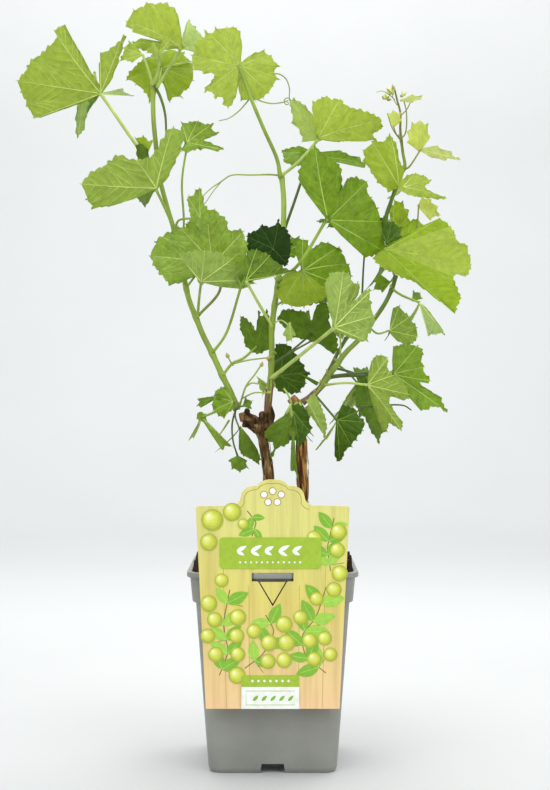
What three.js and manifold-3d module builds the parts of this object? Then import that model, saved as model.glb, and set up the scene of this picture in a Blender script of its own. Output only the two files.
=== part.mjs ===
// A potted grapevine: two woody trunks in a square nursery pot, three green shoots,
// the larger leaves as thin uneven blades on their stalks, and a card hung on the rim.
// Millimetres, +Z up, front towards -Y, origin on the ground under the middle of the pot.
import * as THREE from "three";
import { mergeVertices } from "three/addons/utils/BufferGeometryUtils.js";
import Module from "manifold-3d";

const wasm = await Module();
wasm.setup();

// ---- driving sizes -----------------------------------------------------------
const GAP = 0.35;                 // clearance kept between touching pieces
const SLIVER = 0.06;              // details finer than this are dropped after a cut
const POT_HEIGHT = 178;
const RIM_HALF = 75;              // half the width over the rim lip
const LIP_HEIGHT = 5;
const COLLAR_HALF = 71.3;
const COLLAR_BOTTOM = 152;
const BODY_TOP_HALF = 66;
const BASE_HALF = 56.5;
const POT_WALL = 2.2;
const POT_FLOOR = 2.4;
const CORNER_RADIUS = 15;
const CORNER_STEPS = 3;           // straight steps round each corner of the pot
const NOTCH = { width: 22, height: 8.5, depth: 22 };   // drain recess at each side
const SOIL_TOP = 170;
const SOIL_LUMPS = 2.4;
const LUG = { width: 33, height: 4.6, reach: 3.2 };    // tongue of the rim that holds the card
const CARD = {
  thick: 1.1, bottom: 61, shoulder: 236, bottomHalf: 57.8, shoulderHalf: 66.4,
  archHalf: 27, archTop: 259, stepHalf: 33, stepRise: 4, corner: 5,
  slotHalf: 18, slotBottom: 171, slotTop: POT_HEIGHT + GAP,
};
const HEAD = { at: 0.93, spread: 0.12, swell: 0.45 };  // swollen head of a trunk, along its length
const KNOB_HEIGHT = 0.1;          // share of a trunk's radius
const KNOB_TURNS = 19;
const JOINT_SWELL = 0.12;         // share of a shoot's radius
const JOINT_TURNS = 26;
const LEAF_DEPTH = 1.9;           // how far leaves stand off and lean, against their listed depths
const BLADE_THICKNESS = 2.6;      // of a leaf's blade along Y
const STALK_RADIUS = 1.7;
const STALK_FLARE = 0.3;          // how much thicker a stalk is where it leaves its shoot
const HEEL = 1.6;                 // least reach of a blade round its joint
const TOOTH_DEPTH = 0.05;         // share of the leaf's reach
const TOOTH_RUN = 0.3;            // length along the margin of one tooth, as a share of the reach
const TOOTH_LEAST_ANGLE = 16;     // degrees
const OPEN_SPAN = 70;             // degrees without a lobe from which a blade is open there
const OPEN_REACH = 0.12;          // reach of the open side, as a share of the lobes beside it
const EDGE_FALL = 9;              // degrees past the last lobe to the open side
const LOBE_BULGE = 0.3;           // how far the widest run between two lobes stands out
const LOBE_NOTCH = 0.06;          // how far the margin dips between two lobes

// ---- colours -----------------------------------------------------------------
const TONES = {
  bright: 0xa3c24a, yellow: 0xc3c944, mid: 0x7ca53a, dark: 0x4a7f26, darkest: 0x24500f,
  pale: 0x9dbb66, blue: 0x8fb486,
};
const COLOURS = {
  pot: 0x8a8a84, soil: 0x33261d, card: 0xf0d59c, bark: 0x5f4128, tan: 0x9a6a38,
  shoot: 0x8fa543,
};

// ---- limbs: [name, colour, base radius, tip radius, route x,y,z ...] -----------
const LIMBS = [
  ["trunk_left", "bark", 7.0, 6.4,
    [-4, 4, 163, -3, 4, 200, -3, 3, 236, -5, 2, 264, -9, 1, 292, -16, 0, 307, -28, 0, 314]],
  ["trunk_right", "tan", 5.0, 4.4,
    [29, 8, 163, 28, 8, 200, 28, 7, 236, 27, 5, 264, 26, 3, 295, 24, 1, 318, 19, 0, 328]],
  ["shoot_left_low", "shoot", 4.2, 2.9,
    [-33, 2, 318, -38, 2, 333, -46, 2, 349, -56, 2, 371, -64, 2, 387, -70, 2, 402, -77, 2, 420,
      -83, 2, 448, -89, 2, 478]],
  ["shoot_left_high", "shoot", 2.9, 3.4,
    [-89.2, 2, 478.8, -98, 2, 508, -104, 3, 532, -107, 4, 557, -110, 5, 590, -110, 5, 616]],
  ["shoot_middle", "shoot", 4.0, 2.8,
    [-5, 2, 313, -3, 2, 330, -2, 2, 346, -1, 2, 373, -1, 2, 392, 1, 2, 410, 5, 2, 436, 9, 2, 478,
      10, 2, 511, 8, 2, 534]],
  ["shoot_right_low", "shoot", 4.4, 3.0,
    [27, 0, 325, 42, 1, 337, 55, 2, 355, 67, 3, 371, 79, 4, 383, 92, 4, 400, 104, 4, 418,
      111, 4, 434, 113, 4, 442]],
  ["shoot_right_high", "shoot", 2.9, 1.2,
    [112.9, 4, 443.2, 107, 4, 475, 104, 4, 494, 109, 3, 511, 117, 2, 533, 121, 2, 541, 119, 2, 556,
      117, 2, 575, 117, 2, 591, 114, 2, 603, 112, 2, 612]],
];

// ---- leaves ------------------------------------------------------------------
// Each leaf hangs on its stalks and has one or more blades. A blade starts at its joint "at" and
// reaches out by its lobes [bearing, reach]: bearing 0 points to +X and 90 up, reach is in mm.
// "lean" is how much the blade goes back (+Y) per mm to +X and per mm up, and "cup" how far its
// margin bends back (or forward, when negative) as a share of its reach.
const LEAVES = [
  {"name": "leaf_far_left", "stalks": [[-104, 3, 533, -122, 5, 557, -160, 10, 612]], "blades": [
    {"at": [-160, 10, 612], "lobes": [[115, 40], [117, 68], [128, 69], [134, 62], [154, 73], [171, 80],
      [189, 72], [198, 68], [203, 55]], "lean": [0.1, -0.2], "cup": 0.1, "tone": "bright"},
    {"at": [-160, 10, 612], "lobes": [[108, 34], [116, 43]], "lean": [0.1, -0.1], "cup": 0.1,
      "tone": "mid"},
    {"at": [-160, 10, 612], "lobes": [[66, 46], [76, 53], [90, 39], [101, 27]], "lean": [-0.25, -0.15],
      "cup": 0.1, "tone": "bright"},
    {"at": [-160, 10, 612], "lobes": [[12, 29], [35, 21]], "lean": [0.6, 0.5], "cup": 0, "tone": "blue"},
    {"at": [-176, 10, 612], "lobes": [[240, 24], [247, 42], [254, 40], [263, 32]],
      "lean": [-0.2, -0.35], "cup": 0, "tone": "blue"}]},
  {"name": "leaf_top_left", "stalks": [[-106, 0, 614, -96, -5, 628, -82, -12, 645]], "blades": [
    {"at": [-82, -12, 645], "lobes": [[88, 28], [102, 38], [116, 46], [126, 53], [139, 58], [154, 61]],
      "lean": [-0.12, -0.2], "cup": 0.16, "tone": "bright"},
    {"at": [-82, -12, 645], "lobes": [[157, 55], [170, 42]], "lean": [-0.35, 0.2], "cup": 0.1,
      "tone": "dark"},
    {"at": [-82, -12, 645], "lobes": [[352, 9], [32, 24], [64, 31], [79, 34]], "lean": [0.5, 0.2],
      "cup": 0.1, "tone": "pale"}]},
  {"name": "leaf_node_back", "stalks": [[-108, 8, 613, -105, 13, 628, -104, 15, 638]], "blades": [
    {"at": [-104, 15, 638], "lobes": [[20, 30], [45, 29], [75, 22], [110, 18], [168, 28], [190, 35],
      [222, 31], [250, 35]], "lean": [0.15, 0.2], "cup": 0.15, "tone": "mid"},
    {"at": [-104, 15, 638], "lobes": [[284, 34], [312, 36], [336, 32], [0, 31], [22, 30]],
      "lean": [0.3, 0.1], "cup": 0.1, "tone": "dark"}]},
  {"name": "leaves_node_front", "stalks": [[-110, -1, 616, -114, -3, 630, -119, -2, 643],
    [-110, -1, 616, -104, -10, 626, -101, -20, 636]], "blades": [
    {"at": [-119, -2, 643], "lobes": [[130, 23], [150, 23], [186, 23], [215, 12]], "lean": [-0.3, 0.2],
      "cup": 0.1, "tone": "bright"},
    {"at": [-101, -20, 636], "lobes": [[118, 14], [150, 13], [168, 14]], "lean": [-0.4, 0], "cup": 0,
      "tone": "yellow"},
    {"at": [-101, -20, 636], "lobes": [[40, 12], [59, 25], [78, 18]], "lean": [0.5, 0], "cup": 0,
      "tone": "yellow"}]},
  {"name": "leaf_left_upper", "stalks": [[-89, 2, 479, -95, -4, 495, -105, -12, 517]], "blades": [
    {"at": [-105, -12, 518], "lobes": [[48, 31], [64, 57], [80, 57], [97, 32], [121, 31], [143, 48],
      [160, 54], [177, 70], [190, 66], [200, 58]], "lean": [0.13, -0.1], "cup": 0.1, "tone": "mid"}]},
  {"name": "leaf_left_dark", "stalks": [[-84, 2, 462, -82, 6, 490, -84, 8, 530, -79, 8, 566]],
    "blades": [
    {"at": [-79, 8, 566], "lobes": [[242, 15], [300, 13], [344, 30], [352, 34], [8, 20], [21, 30],
      [42, 28], [62, 24], [88, 20], [110, 20], [150, 14]], "lean": [0.25, 0.1], "cup": 0,
      "tone": "dark"}]},
  {"name": "leaf_left_small", "stalks": [[-105, 3, 543, -112, 8, 549, -118, 11, 554]], "blades": [
    {"at": [-118, 11, 554], "lobes": [[65, 17], [96, 20], [121, 21]], "lean": [0.1, -0.1], "cup": 0.1,
      "tone": "mid"}]},
  {"name": "leaf_left_broad", "stalks": [[-70, 2, 403, -48, 0, 429, -54, 0, 450]], "blades": [
    {"at": [-54, 0, 450], "lobes": [[30, 38], [44, 46], [54, 46], [60, 36], [73, 48], [87, 54],
      [110, 46], [131, 50], [148, 54], [171, 63], [184, 53], [200, 47], [209, 41]],
      "lean": [0.1, -0.25], "cup": 0.15, "tone": "mid"}]},
  {"name": "leaf_middle_folded", "stalks": [[0, 0, 394, -11, -8, 412, -24, -20, 434]], "blades": [
    {"at": [-24, -20, 434], "lobes": [[17, 41], [36, 31], [60, 28], [80, 30], [93, 31]],
      "lean": [0.1, -0.25], "cup": 0.1, "tone": "pale"}]},
  {"name": "leaves_left_pale", "stalks": [[-69, 0, 403, -67, -9, 418, -64, -18, 433],
    [-55, 0, 371, -43, -6, 387, -28, -14, 431]], "blades": [
    {"at": [-64, -18, 433], "lobes": [[354, 38], [15, 35], [30, 34], [52, 32], [80, 28], [104, 27],
      [129, 29]], "lean": [0.12, -0.3], "cup": 0.1, "tone": "pale"},
    {"at": [-28, -14, 431], "lobes": [[6, 14], [40, 12], [90, 20], [130, 24]], "lean": [0.1, 0.2],
      "cup": 0, "tone": "mid"}]},
  {"name": "leaf_left_young", "stalks": [[-90, -1, 483, -84, -14, 490, -65, -16, 490]], "blades": [
    {"at": [-65, -16, 490], "lobes": [[330, 12], [35, 16], [62, 22], [92, 31], [124, 27], [150, 18],
      [200, 12], [270, 12]], "lean": [0.2, -0.1], "cup": 0, "tone": "mid"}]},
  {"name": "leaves_middle_shade", "stalks": [[8, 4, 456, 4, 8, 461, 1, 8, 466]], "blades": [
    {"at": [1, 8, 466], "lobes": [[22, 17], [52, 22], [75, 24], [107, 20], [140, 24], [158, 28],
      [193, 24], [225, 19], [270, 15], [307, 20], [343, 15]], "lean": [-0.15, -0.2], "cup": 0,
      "tone": "darkest"},
    {"at": [9, 9, 464], "lobes": [[335, 12], [0, 22], [30, 26], [49, 24], [62, 18]],
      "lean": [0.3, 0.1], "cup": 0.1, "tone": "bright"}]},
  {"name": "leaf_middle_broad", "stalks": [[4, 0, 431, 14, -6, 438, 27, -12, 444]], "blades": [
    {"at": [27, -12, 444], "lobes": [[196, 19], [212, 29], [230, 36], [250, 36], [268, 35], [290, 35],
      [318, 40], [343, 50], [358, 51], [13, 47], [31, 43], [46, 41], [60, 35], [77, 27]],
      "lean": [0.1, -0.15], "cup": 0.15, "tone": "mid"}]},
  {"name": "leaf_middle_pale", "stalks": [[-2, 0, 347, 25, -14, 368, 54, -30, 391]], "blades": [
    {"at": [54, -30, 391], "lobes": [[332, 27], [352, 34], [16, 43], [30, 45], [44, 51], [52, 50],
      [59, 33], [66, 46], [76, 54], [87, 55], [99, 46]], "lean": [0.15, -0.1], "cup": 0.12,
      "tone": "pale"}]},
  {"name": "leaves_middle_dark", "stalks": [[-1, 3, 360, 16, 9, 372, 36, 14, 389],
    [52, 3, 350, 61, 12, 372, 68, 17, 386]], "blades": [
    {"at": [36, 14, 390], "lobes": [[306, 32], [320, 31], [346, 41], [8, 26], [40, 25], [58, 27],
      [72, 30], [92, 14], [104, 20], [120, 25], [134, 33], [155, 34], [178, 33], [200, 25], [255, 9]],
      "lean": [0.1, -0.15], "cup": 0, "tone": "dark"}]},
  {"name": "leaf_middle_left", "stalks": [[-46, 0, 350, -37, 1, 361, -27, 4, 366, -15, 8, 377]],
    "blades": [
    {"at": [-15, 8, 377], "lobes": [[285, 12], [330, 14], [20, 19], [55, 24], [72, 34], [86, 36],
      [99, 18], [108, 27], [119, 32], [145, 20], [186, 12], [240, 11]], "lean": [0.15, -0.2],
      "cup": 0, "tone": "dark"}]},
  {"name": "leaf_middle_drop", "stalks": [[0, 0, 397, 7, -7, 400, 14, -12, 395]], "blades": [
    {"at": [15, -12, 397], "lobes": [[240, 13], [260, 18], [278, 18], [298, 13]], "lean": [0, 0.2],
      "cup": 0.1, "tone": "pale"}]},
  {"name": "leaves_low_middle", "stalks": [[-3, 3, 345, 1, 9, 347, 5, 14, 350]], "blades": [
    {"at": [6, 15, 350], "lobes": [[300, 22], [330, 28], [352, 30], [5, 24], [28, 24], [58, 26],
      [80, 32], [98, 30], [130, 14], [200, 8], [262, 18]], "lean": [0.2, -0.2], "cup": 0,
      "tone": "darkest"},
    {"at": [22, 18, 354], "lobes": [[325, 24], [335, 26]], "lean": [0.1, 0], "cup": 0,
      "tone": "dark"}]},
  {"name": "leaves_low_small", "stalks": [[-4, 4, 341, -8, 6, 343, -10, 7, 343]], "blades": [
    {"at": [-5, 6, 342], "lobes": [[144, 14], [175, 10], [210, 9], [247, 13]], "lean": [-0.1, 0.1],
      "cup": 0.1, "tone": "pale"}]},
  {"name": "leaf_base_left", "stalks": [[-35, 1, 325, -37, -6, 327, -38, -10, 326]], "blades": [
    {"at": [-36, -10, 326], "lobes": [[100, 12], [137, 22], [160, 21], [190, 23], [221, 22], [238, 19],
      [254, 28], [262, 17]], "lean": [0.25, 0.1], "cup": 0.15, "tone": "bright"},
    {"at": [-48, -12, 331], "lobes": [[186, 21], [204, 24], [212, 20]], "lean": [-0.3, 0.2], "cup": 0,
      "tone": "dark"}]},
  {"name": "leaf_base_edge", "stalks": [[-32, 5, 320, -48, 12, 318, -67, 12, 311]], "blades": [
    {"at": [-67, 12, 312], "lobes": [[302, 38], [316, 42]], "lean": [0.1, 0.1], "cup": 0,
      "tone": "mid"}]},
  {"name": "leaves_base_hanging", "stalks": [[-34, -2, 319, -34, -9, 312, -30, -13, 302],
    [-34, -2, 319, -37, -5, 306, -36, -8, 290, -32, -8, 277],
    [-34, -2, 319, -31, -7, 321, -27, -9, 322]], "blades": [
    {"at": [-29, -13, 303], "lobes": [[262, 24], [279, 31], [292, 36], [299, 38], [312, 26]],
      "lean": [0.2, -0.1], "cup": 0.1, "tone": "dark"},
    {"at": [-32, -8, 277], "lobes": [[207, 10], [245, 14], [278, 16], [312, 16], [335, 10]],
      "lean": [-0.2, 0.1], "cup": 0.1, "tone": "mid"},
    {"at": [-27, -9, 322], "lobes": [[340, 9], [30, 11], [75, 9]], "lean": [0, 0], "cup": 0,
      "tone": "dark"}]},
  {"name": "leaf_right_trunk_light", "stalks": [[24, -3, 325, 28, -10, 320, 33, -16, 323]],
    "blades": [
    {"at": [33, -16, 323], "lobes": [[293, 34], [297, 38], [318, 24], [350, 14], [30, 11], [65, 14],
      [105, 9]], "lean": [0.25, -0.1], "cup": 0.1, "tone": "bright"}]},
  {"name": "leaves_right_trunk", "stalks": [[22, -3, 325, 20, -12, 323, 18, -17, 316]], "blades": [
    {"at": [18, -17, 318], "lobes": [[180, 6], [212, 33], [232, 36], [243, 48], [254, 42], [263, 26],
      [275, 36], [286, 33], [298, 28], [314, 26], [352, 16], [20, 8]], "lean": [0.1, -0.1],
      "cup": 0.12, "tone": "darkest"},
    {"at": [16, -19, 324], "lobes": [[238, 22], [254, 24], [268, 23]], "lean": [0, -0.2], "cup": 0,
      "tone": "pale"},
    {"at": [18, -15, 300], "lobes": [[266, 36], [276, 44]], "lean": [0, 0], "cup": 0, "tone": "mid"}]},
  {"name": "leaf_right_low_dark", "stalks": [[38, 0, 333, 43, -6, 327, 58, -10, 309]], "blades": [
    {"at": [58, -10, 309], "lobes": [[264, 26], [272, 39], [280, 38], [300, 30], [316, 28], [336, 27],
      [2, 26], [24, 22], [50, 16], [68, 20], [80, 12]], "lean": [-0.25, -0.1], "cup": 0.12,
      "tone": "dark"}]},
  {"name": "leaf_right_low_mid", "stalks": [[56, 4, 357, 70, 12, 354, 83, 15, 350]], "blades": [
    {"at": [84, 16, 351], "lobes": [[236, 18], [248, 25], [262, 31], [274, 50], [281, 63], [286, 69],
      [293, 52], [310, 24]], "lean": [0.15, 0.1], "cup": 0.1, "tone": "dark"}]},
  {"name": "leaf_right_low_bright", "stalks": [[47, 0, 341, 66, -9, 343, 85, -14, 341]], "blades": [
    {"at": [85, -14, 341], "lobes": [[296, 46], [308, 55], [314, 52], [320, 38], [337, 27], [340, 38],
      [352, 41], [24, 25], [50, 34], [62, 33], [75, 30]], "lean": [-0.15, -0.12], "cup": 0.12,
      "tone": "bright"}]},
  {"name": "leaf_right_mid_upper", "stalks": [[88, 5, 395, 97, 10, 389, 108, 13, 392]], "blades": [
    {"at": [109, 13, 392], "lobes": [[285, 13], [310, 20], [334, 27], [354, 27], [14, 28], [36, 26],
      [60, 24], [80, 26], [96, 18]], "lean": [0.2, 0.1], "cup": 0.15, "tone": "mid"}]},
  {"name": "leaf_right_mid_lower", "stalks": [[51, 1, 349, 68, 0, 351, 88, -1, 352, 110, -2, 351]],
    "blades": [
    {"at": [110, -2, 351], "lobes": [[309, 42], [317, 50], [325, 61], [335, 48], [340, 41], [343, 39],
      [352, 33], [17, 31], [37, 38], [54, 37], [68, 29], [84, 27]], "lean": [-0.1, 0.15],
      "cup": 0.15, "tone": "mid"}]},
  {"name": "leaves_right_hanging", "stalks": [[110, 3, 429, 118, -3, 423, 133, -7, 416]], "blades": [
    {"at": [133, -7, 416], "lobes": [[287, 30], [300, 33], [313, 40], [325, 26]], "lean": [0.3, 0.1],
      "cup": 0.1, "tone": "blue"},
    {"at": [127, -5, 418], "lobes": [[10, 10], [45, 12], [85, 10]], "lean": [0, 0.2], "cup": 0,
      "tone": "darkest"}]},
  {"name": "leaf_right_shade", "stalks": [[112, 6, 442, 110, 10, 438, 108, 12, 436]], "blades": [
    {"at": [109, 12, 437], "lobes": [[140, 14], [170, 16], [205, 18], [235, 12]], "lean": [0, 0],
      "cup": 0.1, "tone": "dark"}]},
  {"name": "leaf_right_broad", "stalks": [[109, 1, 460, 106, -8, 461, 101, -14, 463]], "blades": [
    {"at": [101, -14, 463], "lobes": [[205, 16], [235, 18], [262, 22], [298, 27], [308, 35], [317, 64],
      [322, 89], [329, 90], [335, 80], [340, 67], [344, 84], [351, 85], [358, 83], [5, 77], [15, 67],
      [24, 62], [31, 56], [43, 40]], "lean": [0.1, -0.15], "cup": 0.06, "tone": "bright"}]},
  {"name": "leaf_right_behind", "stalks": [[107, 6, 474, 110, 12, 478, 113, 15, 481]], "blades": [
    {"at": [113, 15, 481], "lobes": [[20, 14], [40, 22], [57, 30], [73, 37], [87, 37], [98, 30]],
      "lean": [0.1, 0.1], "cup": 0.1, "tone": "yellow"}]},
  {"name": "leaf_right_dark", "stalks": [[105, 2, 484, 103, -5, 489, 101, -9, 486]], "blades": [
    {"at": [103, -9, 469], "lobes": [[20, 15], [45, 21], [72, 21], [94, 26], [110, 27], [126, 17]],
      "lean": [-0.1, -0.1], "cup": 0.1, "tone": "darkest"}]},
  {"name": "leaf_upper_right", "stalks": [[5, 0, 436, 24, -22, 450, 48, -24, 488]], "blades": [
    {"at": [49, -24, 487], "lobes": [[72, 46], [78, 50], [89, 56], [100, 69], [117, 55], [127, 43]],
      "lean": [-0.2, -0.15], "cup": 0.1, "tone": "mid"},
    {"at": [49, -24, 487], "lobes": [[318, 47], [331, 57], [341, 57], [355, 53], [8, 52], [20, 50],
      [30, 45], [46, 51], [58, 49], [66, 46]], "lean": [0.2, -0.15], "cup": 0.1, "tone": "mid"},
    {"at": [50, -24, 487], "lobes": [[172, 8], [186, 12], [200, 9]], "lean": [0, 0], "cup": 0,
      "tone": "dark"}]},
  {"name": "leaf_upper_folded", "stalks": [[10, 4, 482, 20, 9, 511, 33, 12, 551]], "blades": [
    {"at": [40, 12, 556], "lobes": [[168, 30], [183, 34], [196, 33], [212, 18]], "lean": [-0.1, 0.3],
      "cup": 0.1, "tone": "dark"},
    {"at": [28, 12, 556], "lobes": [[349, 60], [355, 63], [1, 54], [9, 36]], "lean": [0.05, 0.3],
      "cup": 0.1, "tone": "dark"}]},
  {"name": "leaf_upper_crest", "stalks": [[8, 0, 533, 24, -4, 545, 41, -6, 564]], "blades": [
    {"at": [41, -6, 565], "lobes": [[4, 50], [13, 66], [22, 63], [30, 56], [42, 46], [58, 41],
      [70, 41], [83, 38], [97, 34]], "lean": [0.2, -0.3], "cup": 0.1, "tone": "bright"},
    {"at": [41, -6, 564], "lobes": [[104, 29], [116, 46], [127, 46], [138, 33], [156, 20], [186, 15]],
      "lean": [-0.2, -0.3], "cup": 0.1, "tone": "pale"}]},
  {"name": "leaf_tip_upright", "stalks": [[113, 1, 519, 114, -5, 520, 114, -8, 522]], "blades": [
    {"at": [114, -8, 521], "lobes": [[76, 22], [92, 40], [100, 55], [108, 47], [119, 53], [129, 49],
      [139, 46], [150, 32], [180, 15]], "lean": [0.15, -0.15], "cup": 0.15, "tone": "bright"}]},
  {"name": "leaf_tip_pointed", "stalks": [[114, 0, 522, 117, -7, 519, 119, -12, 519]], "blades": [
    {"at": [117, -13, 519], "lobes": [[335, 16], [347, 34], [355, 45], [4, 32], [19, 33], [30, 28],
      [49, 21], [78, 12]], "lean": [0.2, -0.1], "cup": 0.1, "tone": "yellow"}]},
  {"name": "leaf_tip_yellow", "stalks": [[108, 1, 470, 119, -7, 472, 129, -9, 481, 132, -10, 504]],
    "blades": [
    {"at": [131, -10, 503], "lobes": [[312, 18], [342, 24], [2, 19], [30, 14], [62, 10]],
      "lean": [0.1, -0.1], "cup": 0.1, "tone": "yellow"}]},
  {"name": "leaves_tip_pair", "stalks": [[120, 1, 539, 124, -2, 540, 135, -3, 556]], "blades": [
    {"at": [134, -3, 555], "lobes": [[50, 15], [72, 25], [90, 28], [108, 27], [128, 21], [150, 14]],
      "lean": [-0.1, -0.2], "cup": 0.1, "tone": "bright"},
    {"at": [134, -3, 556], "lobes": [[325, 14], [338, 26], [352, 41], [3, 31], [16, 18]],
      "lean": [0.2, 0.1], "cup": 0.1, "tone": "yellow"}]},
  {"name": "leaves_tip_last", "stalks": [[117, 2, 565, 117, -3, 566],
    [117, -5, 566, 113, -3, 570, 110, -3, 577],
    [117, -5, 566, 121, -3, 571, 122, -3, 590, 120, -2, 600]], "blades": [
    {"at": [110, -3, 576], "lobes": [[40, 11], [62, 16], [90, 18], [112, 15]], "lean": [0, 0],
      "cup": 0.1, "tone": "yellow"},
    {"at": [117, -2, 601], "lobes": [[345, 11], [2, 19], [14, 21], [28, 12]], "lean": [0, 0],
      "cup": 0, "tone": "yellow"}]},
  {"name": "leaf_top_middle", "stalks": [[7, 0, 531, 4, -3, 547, -8, -9, 573, -20, -14, 600,
    -30, -15, 627]], "blades": [
    {"at": [-30, -15, 627], "lobes": [[85, 22], [95, 34], [110, 38], [124, 42], [135, 45], [158, 46],
      [168, 45], [188, 40], [196, 33], [212, 43], [222, 40], [234, 37], [250, 41], [261, 35]],
      "lean": [0.08, -0.12], "cup": 0.1, "tone": "bright"},
    {"at": [-30, -15, 627], "lobes": [[268, 33], [278, 28], [302, 34], [316, 35], [334, 34], [348, 37],
      [6, 38], [22, 33], [39, 28]], "lean": [0.2, -0.12], "cup": 0.12, "tone": "bright"}]},
  {"name": "leaf_back_right", "stalks": [[112, 7, 446, 124, 26, 456, 140, 36, 468]], "blades": [
    {"at": [140, 36, 468], "lobes": [[20, 30], [60, 26], [100, 28], [140, 26], [220, 24], [250, 20],
      [320, 26]], "lean": [0.3, 0.5], "cup": 0.2, "tone": "dark"}]},
  {"name": "leaf_back_upper", "stalks": [[105, 6, 490, 86, 22, 498, 62, 34, 505]], "blades": [
    {"at": [62, 34, 505], "lobes": [[20, 26], [55, 24], [90, 30], [125, 30], [230, 16], [270, 14],
      [320, 24]], "lean": [0.2, -0.5], "cup": 0.2, "tone": "dark"}]},
  {"name": "leaf_back_left", "stalks": [[-80, 5, 430, -72, 24, 446, -66, 32, 462]], "blades": [
    {"at": [-66, 32, 462], "lobes": [[15, 30], [50, 26], [88, 28], [125, 30], [165, 36], [215, 20],
      [300, 20]], "lean": [-0.4, 0.4], "cup": 0.2, "tone": "dark"}]},
  {"name": "leaf_back_middle", "stalks": [[2, 5, 414, 20, 26, 426, 36, 34, 438]], "blades": [
    {"at": [36, 34, 438], "lobes": [[10, 30], [50, 26], [90, 24], [170, 28], [215, 26], [270, 20],
      [325, 28]], "lean": [0.4, -0.4], "cup": 0.2, "tone": "dark"}]},
  {"name": "leaf_back_low", "stalks": [[60, 6, 360, 72, 26, 352, 84, 34, 340]], "blades": [
    {"at": [84, 34, 340], "lobes": [[10, 28], [70, 22], [110, 20], [220, 12], [265, 30], [290, 36],
      [325, 34]], "lean": [0.4, 0.3], "cup": 0.2, "tone": "dark"}]},
];

// ---- solids ------------------------------------------------------------------
const vec = (list, i) => new THREE.Vector3(list[i], list[i + 1], list[i + 2]);

function routeOf(list) {
  const points = [];
  for (let i = 0; i < list.length; i += 3) points.push(vec(list, i));
  if (points.length === 2) return new THREE.LineCurve3(points[0], points[1]);
  return new THREE.CatmullRomCurve3(points, false, "centripetal");
}

function toSolid(geometry) {
  geometry.deleteAttribute("normal");
  geometry.deleteAttribute("uv");
  const merged = mergeVertices(geometry, 1e-4);
  const solid = new wasm.Manifold(new wasm.Mesh({
    numProp: 3,
    vertProperties: new Float32Array(merged.attributes.position.array),
    triVerts: new Uint32Array(merged.index.array),
  }));
  return solid;
}

function toGeometry(solid) {
  const mesh = solid.getMesh();
  const geometry = new THREE.BufferGeometry();
  geometry.setAttribute("position", new THREE.BufferAttribute(mesh.vertProperties, 3));
  geometry.setIndex(new THREE.BufferAttribute(mesh.triVerts, 1));
  geometry.computeVertexNormals();
  return geometry;
}

// The biggest connected piece of a solid, by volume.
function mainPiece(solid) {
  const pieces = solid.decompose();
  return pieces.reduce((best, piece) => (piece.volume() > best.volume() ? piece : best));
}

// Moves every vertex of a geometry by a rule.
function reshape(geometry, rule) {
  const position = geometry.attributes.position;
  const point = new THREE.Vector3();
  for (let i = 0; i < position.count; i += 1) {
    point.fromBufferAttribute(position, i);
    rule(point, i);
    position.setXYZ(i, point.x, point.y, point.z);
  }
  return geometry;
}

// A tapering limb: a cylinder bent along its route, with swellings given by a function of t,
// and made longer by "extend" at both ends.
function limb(list, baseRadius, tipRadius, { sides, steps, extend = 0, swell = () => 1 }) {
  const route = routeOf(list);
  const cylinder = new THREE.CylinderGeometry(1, 1, 1, sides, steps);
  const forward = new THREE.Vector3(0, 1, 0);
  const upward = new THREE.Vector3(0, 0, 1);
  return toSolid(reshape(cylinder, (p) => {
    const t = Math.min(1, Math.max(0, p.y + 0.5));
    const along = route.getTangentAt(t);
    const guide = Math.abs(along.y) > 0.9 ? upward : forward;
    const side = new THREE.Vector3().crossVectors(guide, along).normalize();
    const normal = new THREE.Vector3().crossVectors(side, along);
    const angle = Math.atan2(p.z, p.x);
    const radius = (baseRadius + (tipRadius - baseRadius) * t) * swell(t, angle);
    side.multiplyScalar(p.x * radius);
    normal.multiplyScalar(p.z * radius);
    const past = t === 0 ? -extend : extend * Number(t === 1);
    p.copy(route.getPointAt(t)).add(side).add(normal).addScaledVector(along, past);
  }));
}

// The reach of a blade at a bearing, in degrees: straight runs between the lobes, dipping
// midway, and next to nothing past the first and last lobe of an open blade.
function reachAt(lobes, bearing) {
  const turn = (a) => ((a % 360) + 360) % 360;
  const inRadians = Math.PI / 180;
  for (let i = 0; i < lobes.length; i += 1) {
    const [from, near] = lobes[i];
    const [to, far] = lobes[(i + 1) % lobes.length];
    const span = turn(to - from);
    const past = turn(bearing - from);
    if (past > span) continue;
    if (span > OPEN_SPAN) {
      const short = OPEN_REACH * Math.min(near, far);
      if (past < EDGE_FALL) return near + (short - near) * (past / EDGE_FALL);
      if (span - past < EDGE_FALL) return far + (short - far) * ((span - past) / EDGE_FALL);
      return short;
    }
    const chord = (near * far * Math.sin(span * inRadians))
      / (near * Math.sin(past * inRadians) + far * Math.sin((span - past) * inRadians));
    const t = past / span;
    const bulge = 1 + (span / OPEN_SPAN) * LOBE_BULGE * t * (1 - t);
    return chord * bulge * (1 - LOBE_NOTCH * Math.sin(Math.PI * t) ** 4);
  }
  return lobes[0][1];
}

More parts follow.
